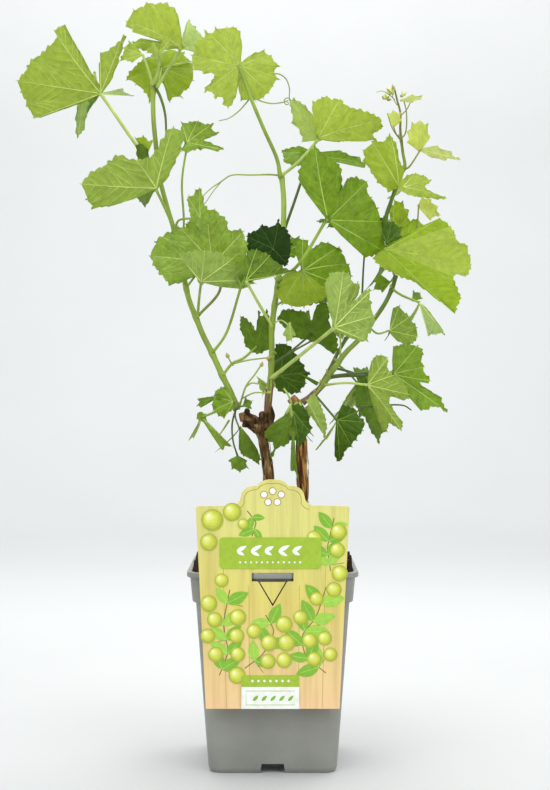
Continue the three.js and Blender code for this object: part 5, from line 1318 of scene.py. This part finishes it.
def grow_shoot(name, rng):
    """A cane with fine ridges, swollen joints, and a bud at each joint."""
    base, tip, flat = SHOOTS[name]
    bag = Bag(STEMS)
    steps = 12 * (len(flat) // 3)
    path = route(flat, steps)
    along = along_of(path)
    radii = base + (tip - base) * along / along[-1]
    joints = joints_on(path)
    bulge = [np.exp(-((along - along[k]) / JOINT_SPAN) ** 2) for k in joints]
    if bulge:
        radii = radii * (1 + JOINT_SWELL * np.max(bulge, axis=0))
    phase = rng.uniform(0, TURN)

    def ridges(points, t, angle):
        wide = 0.06 * base * np.sin(6 * angle + 2.5 * t + phase)
        return wide + 0.03 * base * np.sin(11 * angle - 3 * t)

    def tones(quads, rings):
        row = quads[:, 0] // SHOOT_SIDES
        side = rings.reshape(-1, 3)[quads].mean(1)[:, 0] - path[row, 0]
        share = row / steps + 0.05 * np.sin(2 * side)
        return [next(tone for stop, tone in SHOOT_TONES[name] if s <= stop) for s in share]

    tube(bag, path, radii, SHOOT_SIDES, tones, ridges)
    for k in joints:
        outward = np.array([rng.uniform(-1, 1), rng.uniform(-1, 0.2), 0.9])
        place = path[k] + outward / np.linalg.norm(outward) * radii[k] * 0.8
        bud(bag, place, outward, rng.uniform(3, 4.5), 1.3, "bud")
    return bag.build(name + "_cane")


def grow_twigs(rng):
    """Side twigs, single buds, and clusters of young growth at the tips."""
    bag = Bag(STEMS)
    for tone, base, tip, flat in TWIGS:
        strand(bag, flat, 8, (base, tip), 10, tone)
    for x, y, z, hx, hy, hz, length, radius in BUDS:
        bud(bag, (x, y, z), (hx, hy, hz), length, radius, "bud")
    for x, y, z, count, spread, length in TIPS:
        for _ in range(count):
            heading = np.array([rng.uniform(-1, 1), rng.uniform(-1, 1), rng.uniform(0.1, 1.3)])
            place = np.array([x, y, z]) + spread * heading * (0.6, 0.6, 1)
            bud(bag, place, heading, length * rng.uniform(0.6, 1.1), rng.uniform(0.8, 1.5),
                rng.choice(("bud_pale", "bud_pale", "bud")))
    return bag.build("side_twigs")


def grow_tendrils():
    """Thin tendrils, and flat spirals that narrow toward their ends."""
    bag = Bag(STEMS)
    for base, tip, flat in TENDRILS:
        strand(bag, flat, 8, (base, tip), 7, "stalk_green")
    for x, y, z, turns, radius, lean in CURLS:
        t = np.linspace(0, 1, 40)
        spin = turns * 2 * math.pi * t
        curl = radius * (1 - 0.65 * t)
        path = np.stack([x + curl * np.cos(spin) - radius, y + 5 * t * lean,
                         z + curl * np.sin(spin) - 2 * t], 1)
        tube(bag, path, np.linspace(0.55, 0.3, 40), 6, "stalk_green")
    return bag.build("tendrils")


# ---- bark ---------------------------------------------------------------------------
def turbulence(points, scale, stretch):
    flat = points.reshape(-1, 3) * scale
    flat[:, 2] *= stretch
    values = [noise.noise(Vector(p)) for p in flat]
    return np.array(values).reshape(points.shape[:-1])


def bark_relief(depth, seed):
    """Long ridges and cracks along the wood, with finer fibres on them."""
    def relief(points, t, angle):
        shifted = points + seed
        ridge = 1 - 2 * np.abs(turbulence(shifted, 0.32, 0.16))
        fibre = turbulence(shifted, 1.1, 0.12)
        lump = turbulence(shifted, 0.12, 0.8)
        return depth * (0.75 * ridge + 0.45 * fibre + 0.9 * lump - 0.35)
    return relief


def bark_tones(names, limits, path, seed, lit=0.0):
    """Deals the bark's tints by how high a face stands and by a slow change along the wood.

    `lit` paints light on one side: with it above 0 the right side is paler, and below 0 the left side.
    """
    def tones(quads, rings):
        centre = rings.reshape(-1, 3)[quads].mean(1)
        sides = rings.shape[1]
        middle = path[quads[:, 0] // sides]
        height = np.linalg.norm(centre - middle, axis=1)
        level = height / np.convolve(height, np.ones(sides * 5) / (sides * 5), "same")
        drift = turbulence(centre + seed, 0.25, 0.12) * 0.12
        side = (centre[:, 0] - middle[:, 0]) / np.maximum(height, 1e-6)
        level = level + drift + lit * np.clip(side, -1, 1)
        return [names[int(np.searchsorted(limits, v))] for v in level]
    return tones


def grow_trunk(name):
    """A trunk's wood, with strips of bark that peel off; its stubs can be added to the bag."""
    trunk = TRUNKS[name]
    tones, lit, seed = trunk["tones"], trunk["lit"], trunk["seed"]
    path = route(trunk["route"], TRUNK_STEPS)
    radii = np.interp(np.linspace(0, 1, TRUNK_STEPS + 1), *zip(*trunk["radii"]))
    bag = Bag(BARKS)
    tube(bag, path, radii - 0.4, TRUNK_SIDES, bark_tones(tones, trunk["limits"], path, seed, lit),
         bark_relief(trunk["relief"], seed))
    rng = random.Random(SEED + seed)
    for _ in range(PEEL_COUNT):
        peel(bag, path, radii, rng, tones, lit)
    return bag


def peel(bag, path, radii, rng, tones, lit):
    """A strip of bark that lies along the wood and lifts off at one end."""
    start = rng.randrange(10, len(path) - 60)
    run = rng.randrange(18, 48)
    angle = rng.uniform(0, TURN)
    across, up = frames(path)
    width = rng.uniform(0.7, 1.9)
    lift_end = rng.random() < 0.5
    rows = []
    for k in range(run):
        t = k / (run - 1)
        lift = (t if lift_end else 1 - t) ** 3 * rng.uniform(1.2, 2.6)
        i = start + k
        turn = angle + 0.2 * math.sin(3 * t)
        outward = across[i] * math.cos(turn) + up[i] * math.sin(turn)
        sideways = -across[i] * math.sin(turn) + up[i] * math.cos(turn)
        middle = path[i] + outward * (radii[i] + 0.35 + lift * 0.5)
        half = width * (0.35 + 0.65 * math.sin(math.pi * min(1, t * 1.02)))
        rows.append([middle - sideways * half, middle + outward * 0.25, middle + sideways * half,
                     middle - outward * 0.2])
    grid = np.array(rows)
    last = 4 * (run - 1)
    quads = np.vstack([ring_quads(run, 4), [(3, 2, 1, 0), (last, last + 1, last + 2, last + 3)]])
    # A strip on the lit side takes the paler tints, as painted light.
    pale = lit * (grid[:, :, 0].mean() - path[start:start + run, 0].mean()) > 0
    bag.add(grid.reshape(-1, 3), quads, rng.choice(tones[1:] if pale else tones[:2]))


def grow_old_wood():
    """Both trunks: the left one with its knobbly head, and a cut stub on each."""
    left, right = (grow_trunk(name) for name in ("trunk_left", "trunk_right"))
    for flat, base, tip in HEAD_KNOBS:
        path = route(flat, KNOB_STEPS)
        t = np.linspace(0, 1, KNOB_STEPS + 1)
        radii = (base + (tip - base) * t) * np.minimum(1, np.sqrt(np.maximum(0.02, 1 - t ** 6)))
        # The head's blackish bark is partly its own dark old wood and partly painted shade, as the head
        # lies in shadow.
        tones = bark_tones(("bark_black", "bark_dark", "bark_brown"), (0.96, 1.1), path, 5)
        tube(left, path, radii, KNOB_SIDES, tones, bark_relief(1.5, 5))
    for bag, (flat, radii) in zip((left, right), STUBS):
        tube(bag, route(flat, 3), radii, 20, "cut_wood")
    return left.build("trunk_left_bark"), right.build("trunk_right_bark")


# ---- pot ----------------------------------------------------------------------------
def square_ring(half):
    """A square with round corners, anticlockwise from above, with points along its sides too."""
    radius = min(CORNER_RADIUS * half / RIM_HALF, half)
    out = (half - radius) * math.sqrt(2)

    def on_corner(middle, angle):
        return (out * math.cos(middle) + radius * math.cos(angle),
                out * math.sin(middle) + radius * math.sin(angle))

    points = []
    for quarter in range(4):
        middle = math.pi / 4 + quarter * math.pi / 2
        for k in range(CORNER_STEPS + 1):
            points.append(on_corner(middle, (k / CORNER_STEPS + quarter) * math.pi / 2))
        x0, y0 = points[-1]
        x1, y1 = on_corner(middle + math.pi / 2, (quarter + 1) * math.pi / 2)
        for k in range(1, SIDE_STEPS):
            share = k / SIDE_STEPS
            points.append((x0 + (x1 - x0) * share, y0 + (y1 - y0) * share))
    return np.array(points)


def rounded(profile, radius):
    """A profile of [half, z] with each inner corner turned into a small arc."""
    soft = [profile[0]]
    for corner in zip(profile, profile[1:], profile[2:]):
        before, here, after = (np.array(p, float) for p in corner)
        back, ahead = np.linalg.norm(before - here), np.linalg.norm(after - here)
        cut = min(radius, 0.45 * back, 0.45 * ahead)
        start = here + (before - here) / back * cut
        stop = here + (after - here) / ahead * cut
        for t in (0, 0.25, 0.5, 0.75, 1):
            soft.append((1 - t) ** 2 * start + 2 * t * (1 - t) * here + t ** 2 * stop)
    return soft + [profile[-1]]


def body_half(z):
    return BASE_HALF + (BODY_TOP_HALF - BASE_HALF) * z / COLLAR_BOTTOM


def bowed(ring):
    """The thin walls stand out a little between the corners."""
    x, y, z = ring.T
    along = np.minimum(np.abs(x), np.abs(y)) / BASE_HALF
    share = np.clip(1 - along ** 2, 0, 1) * np.clip(np.sin(z / COLLAR_BOTTOM * math.pi), 0, 1)
    grow = 1 + WALL_BOW * share / BASE_HALF
    return np.column_stack([x * grow, y * grow, z])


def cube(name, x0, x1, y0, y1, z0, z1, taper=0.0, bevel=0.0):
    """A box, narrower at its top by `taper` each side, with edges rounded by `bevel`."""
    corners = [(x, y, z) for z in (z0, z1) for y in (y0, y1) for x in (x0, x1)]
    middle = (x0 + x1) / 2
    points = [(x + (taper if x < middle else -taper) * (z == z1), y, z) for x, y, z in corners]
    faces = [(0, 2, 3, 1), (4, 5, 7, 6), (0, 1, 5, 4), (2, 6, 7, 3), (0, 4, 6, 2), (1, 3, 7, 5)]
    bag = Bag([POT])
    bag.add(points, faces, "pot_plastic")
    piece = bag.build(name, smooth=False)
    if bevel:
        soft = piece.modifiers.new("soft", "BEVEL")
        soft.width = bevel * MM
        soft.segments = 3
    return applied(piece)


def applied(piece):
    """Turns an object's modifiers into its own mesh."""
    mesh = evaluated_mesh(piece)
    piece.modifiers.clear()
    piece.data = mesh
    return piece


def combine(piece, tool, operation):
    change = piece.modifiers.new(operation, "BOOLEAN")
    change.operation = operation
    change.solver = "EXACT"
    change.object = tool
    applied(piece)
    bpy.data.objects.remove(tool)


def make_pot():
    """The shell with its collar and rim, four drain recesses under hoods, and a lug at the front."""
    lip = POT_HEIGHT - LIP_HEIGHT
    inner = COLLAR_HALF - RIM_WALL
    profile = rounded([
        (2, 0), (BASE_HALF - 1.5, 0), (body_half(4), 4), (body_half(40), 40), (body_half(90), 90),
        (BODY_TOP_HALF, COLLAR_BOTTOM - 2), (COLLAR_HALF - COLLAR_TAPER, COLLAR_BOTTOM - 0.6),
        (COLLAR_HALF, lip), (RIM_HALF, lip + 0.4), (RIM_HALF, POT_HEIGHT), (inner, POT_HEIGHT),
        (inner - COLLAR_TAPER, COLLAR_BOTTOM + 2), (BODY_TOP_HALF - POT_WALL, COLLAR_BOTTOM - 1),
        (body_half(POT_FLOOR) - POT_WALL, POT_FLOOR), (2, POT_FLOOR)], EDGE_RADIUS)
    rings = []
    for half, z in profile:
        ring = square_ring(half)
        rings.append(bowed(np.column_stack([ring, np.full(len(ring), z)])))
    bag = Bag([POT])
    skin(bag, np.array(rings), [(0, 0, profile[0][1]), (0, 0, profile[-1][1])], "pot_plastic")
    pot = bag.build("pot_shell")

    half, height, wall = DRAIN["width"] / 2, DRAIN["height"], DRAIN["wall"]
    back = -BASE_HALF + DRAIN["depth"]
    for side in range(4):
        hood = cube("hood", -half - wall, half + wall, -BASE_HALF + 1.2, back + wall, 1, height + wall)
        recess = cube("recess", -half, half, -RIM_HALF, back, -1, height, DRAIN["taper"])
        for tool, operation in ((hood, "UNION"), (recess, "DIFFERENCE")):
            tool.rotation_euler.z = side * math.pi / 2
            combine(pot, tool, operation)
    half = LUG["width"] / 2
    lug = cube("lug", -half, half, -RIM_HALF - LUG["reach"], -RIM_HALF + 2,
               POT_HEIGHT - LUG["height"], POT_HEIGHT - 0.05, bevel=EDGE_RADIUS)
    combine(pot, lug, "UNION")
    smooth_by_angle(pot, 32)
    return pot


# ---- soil ---------------------------------------------------------------------------
def soil_height(x, y):
    """The lumpy top of the potting soil, heaped up along the left and right sides."""
    lumps = 3.0 * noise.noise(Vector((x * 0.05, y * 0.05, 3.1)))
    lumps += 2.2 * noise.noise(Vector((x * 0.21, y * 0.21, 7.7)))
    heaps = sum(high * math.exp(-((x - hx) ** 2 + (y - hy) ** 2) / wide ** 2)
                for hx, hy, high, wide in HEAPS)
    return SOIL_TOP + 1.0 + heaps + lumps


def make_soil():
    """A closed block of soil with an uneven top, and crumbs strewn over it."""
    bag = Bag(SOILS)
    half = COLLAR_HALF - RIM_WALL - SOIL_GAP
    floor = SOIL_TOP - SOIL_DEPTH
    outline = square_ring(half)
    count = len(outline)
    points = [(0, 0, soil_height(0, 0))]
    for k in range(1, SOIL_RINGS + 1):
        points += [(x, y, soil_height(x, y)) for x, y in outline * (k / SOIL_RINGS)]
    low = len(points)
    points += [(x, y, floor) for x, y in outline] + [(0, 0, floor)]
    first = bag.put(points)
    ring = np.arange(count)
    after = (ring + 1) % count
    bag.cover(1 + ring_quads(SOIL_RINGS + 1, count)[:, [0, 3, 2, 1]], "soil_mix", first)
    bag.cover(fan(0, 1 + ring, 1 + after), "soil_mix", first)
    bag.cover(fan(low + count, low + after, low + ring), "soil_mix", first)

    rng = random.Random(SEED + 400)
    for _ in range(CRUMB_COUNT):
        x, y = rng.uniform(-half + 2, half - 2), rng.uniform(-half + 2, half - 2)
        beyond = min(abs(x), abs(y)) > half - 12
        if beyond and math.hypot(abs(x) - half + 14, abs(y) - half + 14) > 11:
            continue
        size = rng.uniform(*CRUMB_SIZE)
        crumb(bag, (x, y, soil_height(x, y) + 0.2 * size), size, rng)
    return bag.build("soil_top")


def crumb(bag, at, size, rng):
    """An uneven lump, or now and then a pale splinter of wood fibre."""
    kind = rng.choices(("crumb_dark", "crumb_brown", "crumb_pale"), (5, 3, 0.9))[0]
    stretch = (rng.uniform(2.2, 3.6), 0.4, 0.35) if kind == "crumb_pale" else (
        rng.uniform(0.8, 1.5), rng.uniform(0.7, 1.1), rng.uniform(0.6, 0.9))
    turn = rng.uniform(0, TURN)
    tilt = rng.uniform(-0.6, 0.6)
    points = []
    for corner in BALL_POINTS:
        f = size * rng.uniform(0.75, 1.2)
        x, y, z = (value * share * f for value, share in zip(corner, stretch))
        x, z = x * math.cos(tilt) - z * math.sin(tilt), x * math.sin(tilt) + z * math.cos(tilt)
        points.append((at[0] + x * math.cos(turn) - y * math.sin(turn),
                       at[1] + x * math.sin(turn) + y * math.cos(turn), at[2] + z))
    bag.add(points, BALL_FACES, kind)


# ---- card ---------------------------------------------------------------------------
def bow(x0, z0, x1, z1, bulge, count):
    """Points on a smooth bow from one point to another; the last one is left out."""
    run = np.array([x1 - x0, z1 - z0])
    out = np.array([run[1], -run[0]]) / max(np.linalg.norm(run), 1e-6) * bulge
    t = np.linspace(0, 1, count, endpoint=False)[:, None]
    return np.array([x0, z0]) + run * t + out * 4 * t * (1 - t)


def card_outline(inset=0.0):
    """The card's outline, anticlockwise: straight sides, shoulders, and a bell-shaped head."""
    low, half, step, arch = (CARD[name] - inset
                             for name in ("bottom_half", "shoulder_half", "step_half", "arch_half"))
    shoulder, top = CARD["shoulder"] - inset, CARD["arch_top"] - inset
    right = np.vstack([
        [[low, CARD["bottom"] + inset]],
        bow(half, shoulder - 2.2, half - 2.2, shoulder, 0.5, 4),
        [[half - 2.2, shoulder]],
        bow(step + 2, shoulder + 0.6, arch + 1, shoulder + 6, -1.2, 5),
        bow(arch + 1, shoulder + 6, 14.5, top - 5.5, 4.2, 12),
        bow(14.5, top - 5.5, 12, top - 3.4, -0.3, 3),
        bow(12, top - 3.4, 0, top, 1.3, 7),
        [[0, top]],
    ])
    return np.vstack([right, right[::-1][1:] * np.array([-1, 1])])


def flat_piece(name, loops, thick, front, bevel):
    """A flat board of one outline with holes, from a filled curve, with its front at y = front."""
    curve = bpy.data.curves.new(name, "CURVE")
    curve.dimensions = "2D"
    curve.fill_mode = "BOTH"
    curve.extrude = thick / 2 * MM - bevel * MM
    curve.bevel_depth = bevel * MM
    curve.bevel_resolution = 2
    curve.offset = -bevel * MM
    for loop in loops:
        spline = curve.splines.new("POLY")
        spline.points.add(len(loop) - 1)
        spline.use_cyclic_u = True
        for point, (x, z) in zip(spline.points, loop):
            point.co = (x * MM, z * MM, 0, 1)
    holder = add_object(name + "_curve", curve)
    mesh = evaluated_mesh(holder)
    bpy.data.objects.remove(holder)
    points = np.empty(len(mesh.vertices) * 3)
    mesh.vertices.foreach_get("co", points)
    x, z, out = points.reshape(-1, 3).T
    upright = np.column_stack([x, front * MM + thick / 2 * MM - out, z])
    mesh.vertices.foreach_set("co", upright.reshape(-1))
    mesh.materials.clear()
    mesh.materials.append(CARD_STOCK)
    mesh.update()
    return add_object(name, mesh)


def badge(bag, outline, layer, slot):
    """A thin printed shape on the card's face: a fan round the middle of its outline."""
    outline = np.asarray(outline, float)
    count = len(outline)
    flat = np.vstack([outline.mean(0), outline])
    first = bag.put(np.vstack([np.column_stack([flat[:, 0], np.full(count + 1, y), flat[:, 1]])
                               for y in (CARD_FACE - layer * PRINT_STEP, CARD_FACE + 0.02)]))
    ring = np.arange(count) + 1
    after = np.roll(ring, -1)
    far_ring, far_after = ring + count + 1, after + count + 1
    bag.cover(fan(0, ring, after), slot, first)
    bag.cover(fan(count + 1, far_after, far_ring), slot, first)
    bag.cover(np.stack([ring, far_ring, far_after, after], 1), slot, first)


def disc(x, z, radius, count=28):
    angle = np.arange(count) * 2 * math.pi / count
    return np.column_stack([x + radius * np.cos(angle), z + radius * np.sin(angle)])


def leaf_shape(x, z, heading, length, width):
    """A pointed oval leaf from its foot at x, z along a heading in degrees."""
    t = np.linspace(0, 1, 11)
    half = width / 2 * np.sin(math.pi * t ** 0.85) ** 0.85
    flat = np.vstack([np.column_stack([t * length, -half]),
                      np.column_stack([t * length, half])[::-1][1:-1]])
    a = math.radians(heading)
    return np.column_stack([x + flat[:, 0] * math.cos(a) - flat[:, 1] * math.sin(a),
                            z + flat[:, 0] * math.sin(a) + flat[:, 1] * math.cos(a)])


def panel(x0, x1, z0, z1, radius):
    """A rectangle with round corners, anticlockwise."""
    points = []
    for cx, cz, start in ((x1 - radius, z0 + radius, -90), (x1 - radius, z1 - radius, 0),
                          (x0 + radius, z1 - radius, 90), (x0 + radius, z0 + radius, 180)):
        for k in range(7):
            a = math.radians(start + 15 * k)
            points.append((cx + radius * math.cos(a), cz + radius * math.sin(a)))
    return points


def stroke(bag, points, width, layer, slot):
    """A printed line of even width along a path."""
    points = np.asarray(points, float)
    run = np.gradient(points, axis=0)
    run /= np.maximum(np.linalg.norm(run, axis=1), 1e-6)[:, None]
    side = np.column_stack([run[:, 1], -run[:, 0]]) * width / 2
    for a, b, sa, sb in zip(points, points[1:], side, side[1:]):
        badge(bag, [a + sa, b + sb, b - sb, a - sa], layer, slot)


def fruit(bag, x, z, radius, placed):
    """A round fruit: discs from its shaded edge to its gleam. One that would overlap is left out."""
    if any(math.hypot(x - px, z - pz) < radius + pr for px, pz, pr in placed):
        return
    placed.append((x, z, radius))
    for k in range(5):
        shift = 0.075 * k * radius
        badge(bag, disc(x - shift, z + shift, radius * (1 - 0.17 * k)), 15 + k, f"print_fruit_{k + 1}")
    badge(bag, disc(x - 0.36 * radius, z + 0.4 * radius, radius * 0.13, 12), 20, "print_gleam")


def sprig(bag, path, pairs, size, rng, placed, layers):
    """A bent twig with leaves in pairs and, between some, round fruits on short stems."""
    line = between(np.linspace(0, 1, 24), np.linspace(0, 1, len(path)), np.array(path, float))
    for _ in range(3):
        line[1:-1] = (line[:-2] + 2 * line[1:-1] + line[2:]) / 4
    stroke(bag, line, 0.9, 2, "print_twig")
    for k in range(pairs):
        i = int((k + 0.6) / pairs * 22)
        x, z = line[i]
        dx, dz = line[i + 1] - line[i]
        heading = math.degrees(math.atan2(dz, dx))
        for side in (-1, 1):
            lean = heading + side * rng.uniform(38, 62)
            length = size * rng.uniform(0.85, 1.15)
            slot = rng.choice(("print_leaf", "print_leaf_light"))
            layer = next(layers)
            badge(bag, leaf_shape(x, z, lean, length, length * 0.52), layer, slot)
            a = math.radians(lean)
            tip = (x + 0.8 * length * math.cos(a), z + 0.8 * length * math.sin(a))
            stroke(bag, [(x, z), tip], 0.35, layer + 0.12, "print_rib")
        if k % 2 == 0:
            a = math.radians(heading - 90 * (1 if k % 4 == 0 else -1))
            reach = size * 0.75
            fx, fz = x + reach * math.cos(a), z + reach * math.sin(a)
            stroke(bag, [(x, z), (fx, fz)], 0.5, 2.5, "print_twig")
            fruit(bag, fx, fz, size * rng.uniform(0.34, 0.42), placed)


def print_frame(bag):
    """Fine seams between the wood's boards, and a line inside the shoulders and the head."""
    for x in (-43, -20.5, 23, 46):
        inner = abs(x) < 24
        places = (((0.96, 62), (0.985, 110), (1, 168)) if inner
                  else ((0.93, 62), (0.97, 140), (1, 202)))
        stroke(bag, [(x * share, z) for share, z in places], 0.45, 1, "print_seam")
    line = card_outline(3.4)
    line = line[(line[:, 1] > 231) & (np.abs(line[:, 0]) < 50)]
    stroke(bag, line, 0.55, 1, "print_line")


def print_band(bag):
    """A green band with white leaves and dots on it, and white flowers above it."""
    badge(bag, panel(-46, 42, 182, 209, 3.5), 21, "print_band")
    for x, length in ((-31, 9.5), (-19, 11), (-7, 9), (5, 11), (17, 9.5)):
        badge(bag, leaf_shape(x, 197.2, 28, length, 3.6), 22, "print_white")
        badge(bag, leaf_shape(x, 197.2, -28, length * 0.8, 3.0), 23, "print_white")
    for k in range(12):
        badge(bag, disc(-28 + 4.7 * k, 187.6, 0.85, 12), 22, "print_white")
    for x, z in ((-7.5, 246), (0, 249), (7.5, 246), (-4, 239.5), (4, 239.5)):
        badge(bag, disc(x, z, 3.3, 20), 2, "print_line")
        badge(bag, disc(x, z, 2.6, 20), 3, "print_white")


def print_label(bag):
    """A white label in a green frame at the foot, with small leaves and dots."""
    badge(bag, panel(-27, 23, 61.2, 90, 2.2), 21, "print_band")
    badge(bag, panel(-27, 23, 61.1, 80, 0.3), 22, "print_white")
    stroke(bag, [(-23, 64.5), (19, 64.5), (19, 76.5), (-23, 76.5), (-23, 64.5)], 0.5, 23, "print_band")
    for k in range(5):
        badge(bag, leaf_shape(-17 + 7.6 * k, 68, 45, 6.5, 2.8), 23, "print_leaf")
    for k in range(7):
        badge(bag, disc(-17.5 + 5.2 * k, 85.2, 1.1, 12), 22, "print_white")


def make_card():
    """The board with its slot, the tongue pushed out of the slot, and the print."""
    half, tongue = CARD_SLOT["half"], CARD_SLOT["tongue_half"]
    low, foot = CARD_SLOT["bottom"], CARD_SLOT["tongue_bottom"]
    corner = [(tongue, low), (tongue - 1, low - 0.8), (0.5, foot + 0.6)]
    slot = [(-half, low), (-half, CARD_SLOT["top"]), (half, CARD_SLOT["top"]), (half, low), *corner,
            (0, foot), *[(-x, z) for x, z in corner[::-1]]]
    flap = [(-tongue + 2, low - 0.4), (tongue - 2, low - 0.4), (0, foot + 2)]
    board = flat_piece("card_board", [card_outline(), slot], CARD["thick"], CARD_FACE, 0.16)
    tongue = flat_piece("card_flap", [flap], CARD["thick"] * 0.9, CARD_FACE + 0.5, 0.1)

    bag = Bag(PRINTS)
    rng = random.Random(SEED + 900)
    print_frame(bag)
    print_band(bag)
    placed = []
    for x, z, radius in FRUITS:
        fruit(bag, x, z, radius, placed)
    layers = itertools.count(3, 0.25)
    for path, pairs, size in SPRIGS:
        sprig(bag, path, pairs, size, rng, placed, layers)
    print_label(bag)
    return board, tongue, bag.build("card_print", smooth=False)


# ---- the object ---------------------------------------------------------------------
rng = random.Random(SEED)
pot = make_pot()
soil = make_soil()
card, flap, card_print = make_card()
trunk_left, trunk_right = grow_old_wood()
shoots = {name: grow_shoot(name, rng) for name in SHOOT_TONES}
twigs = grow_twigs(rng)
tendrils = grow_tendrils()
laminas, leaf_veins, leaf_stalks = grow_leaves()

# ---- what rides on what, and what replaces what -------------------------------------
SLOTS = {"pot": [pot], "soil": [soil], "card": [card, flap, card_print], "bark": [trunk_left],
         "tan_bark": [trunk_right], "shoot": [*shoots.values(), twigs, tendrils, leaf_stalks],
         "leaf": [*laminas, leaf_veins]}
for slot, pieces in SLOTS.items():
    for piece in pieces:
        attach(piece, "root")
NODES = {"pot": pot, "soil": soil, "card": card, "trunk_left": trunk_left,
         "trunk_right": trunk_right, **shoots}
for node, piece in NODES.items():
    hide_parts(node)
for row in LEAVES:
    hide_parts(row["name"])


# ---- floor, backdrop, light and camera ----------------------------------------------
def make_stage():
    """A floor that bends up into a backdrop, in mm."""
    shader = Shader("studio_sweep", 0.85, 0.2)
    shader.mottled(shader.noise(3, 2.0), SWEEP_TINT, 0.995, 1.005)
    bag = Bag([shader.material])
    width, near, far, radius, top = 6000, -5500, 3200, 1200, 5000
    bend = [(far - radius + radius * math.sin(a), radius - radius * math.cos(a))
            for a in np.linspace(0, math.pi / 2, 16)]
    profile = [(near, 0.0), *bend, (far, top)]
    points = [(x, y, z) for y, z in profile for x in (-width, width)]
    quads = [(2 * k, 2 * k + 1, 2 * k + 3, 2 * k + 2) for k in range(len(profile) - 1)]
    bag.add(points, quads, "studio_sweep")
    bag.build("studio_sweep")


def area_light(name, at, aim, size, power):
    data = bpy.data.lights.new(name, "AREA")
    data.shape = "RECTANGLE"
    data.size, data.size_y = size
    data.energy = power
    lamp = add_object(name, data)
    lamp.location = at
    lamp.rotation_euler = (Vector(aim) - Vector(at)).to_track_quat("-Z", "Y").to_euler()
    lamp.visible_camera = False


def set_camera(scene):
    lens = bpy.data.cameras.new("camera")
    lens.sensor_width = 36
    lens.lens = 66
    lens.clip_end = 20
    camera = add_object("camera", lens)
    camera.location = [value * MM for value in CAMERA]
    camera.rotation_euler = (math.pi / 2, 0, 0)
    scene.camera = camera


make_stage()
area_light("key", (-0.9, -1.5, 1.9), (0, 0, 0.35), (1.4, 1.2), 15)
area_light("fill", (1.2, -1.3, 1.2), (0, 0, 0.35), (1.2, 1.2), 9.5)
area_light("top", (0, 0.1, 2.1), (0, 0, 0.3), (1.6, 1.4), 15)
area_light("back", (0.2, 0.75, 1.2), (0, 0, 0.45), (1.6, 1.0), 9)
area_light("backdrop", (0, 1.5, 2.6), (0, 3.2, 1.35), (3.4, 0.6), 55)

world = bpy.data.worlds.new("studio")
world.use_nodes = True
sky = world.node_tree.nodes["Background"].inputs
sky["Color"].default_value = (0.93, 0.97, 1.0, 1)
sky["Strength"].default_value = 0.74
scene = bpy.context.scene
scene.world = world
scene.view_settings.view_transform = "Standard"
scene.view_settings.look = "None"
set_camera(scene)
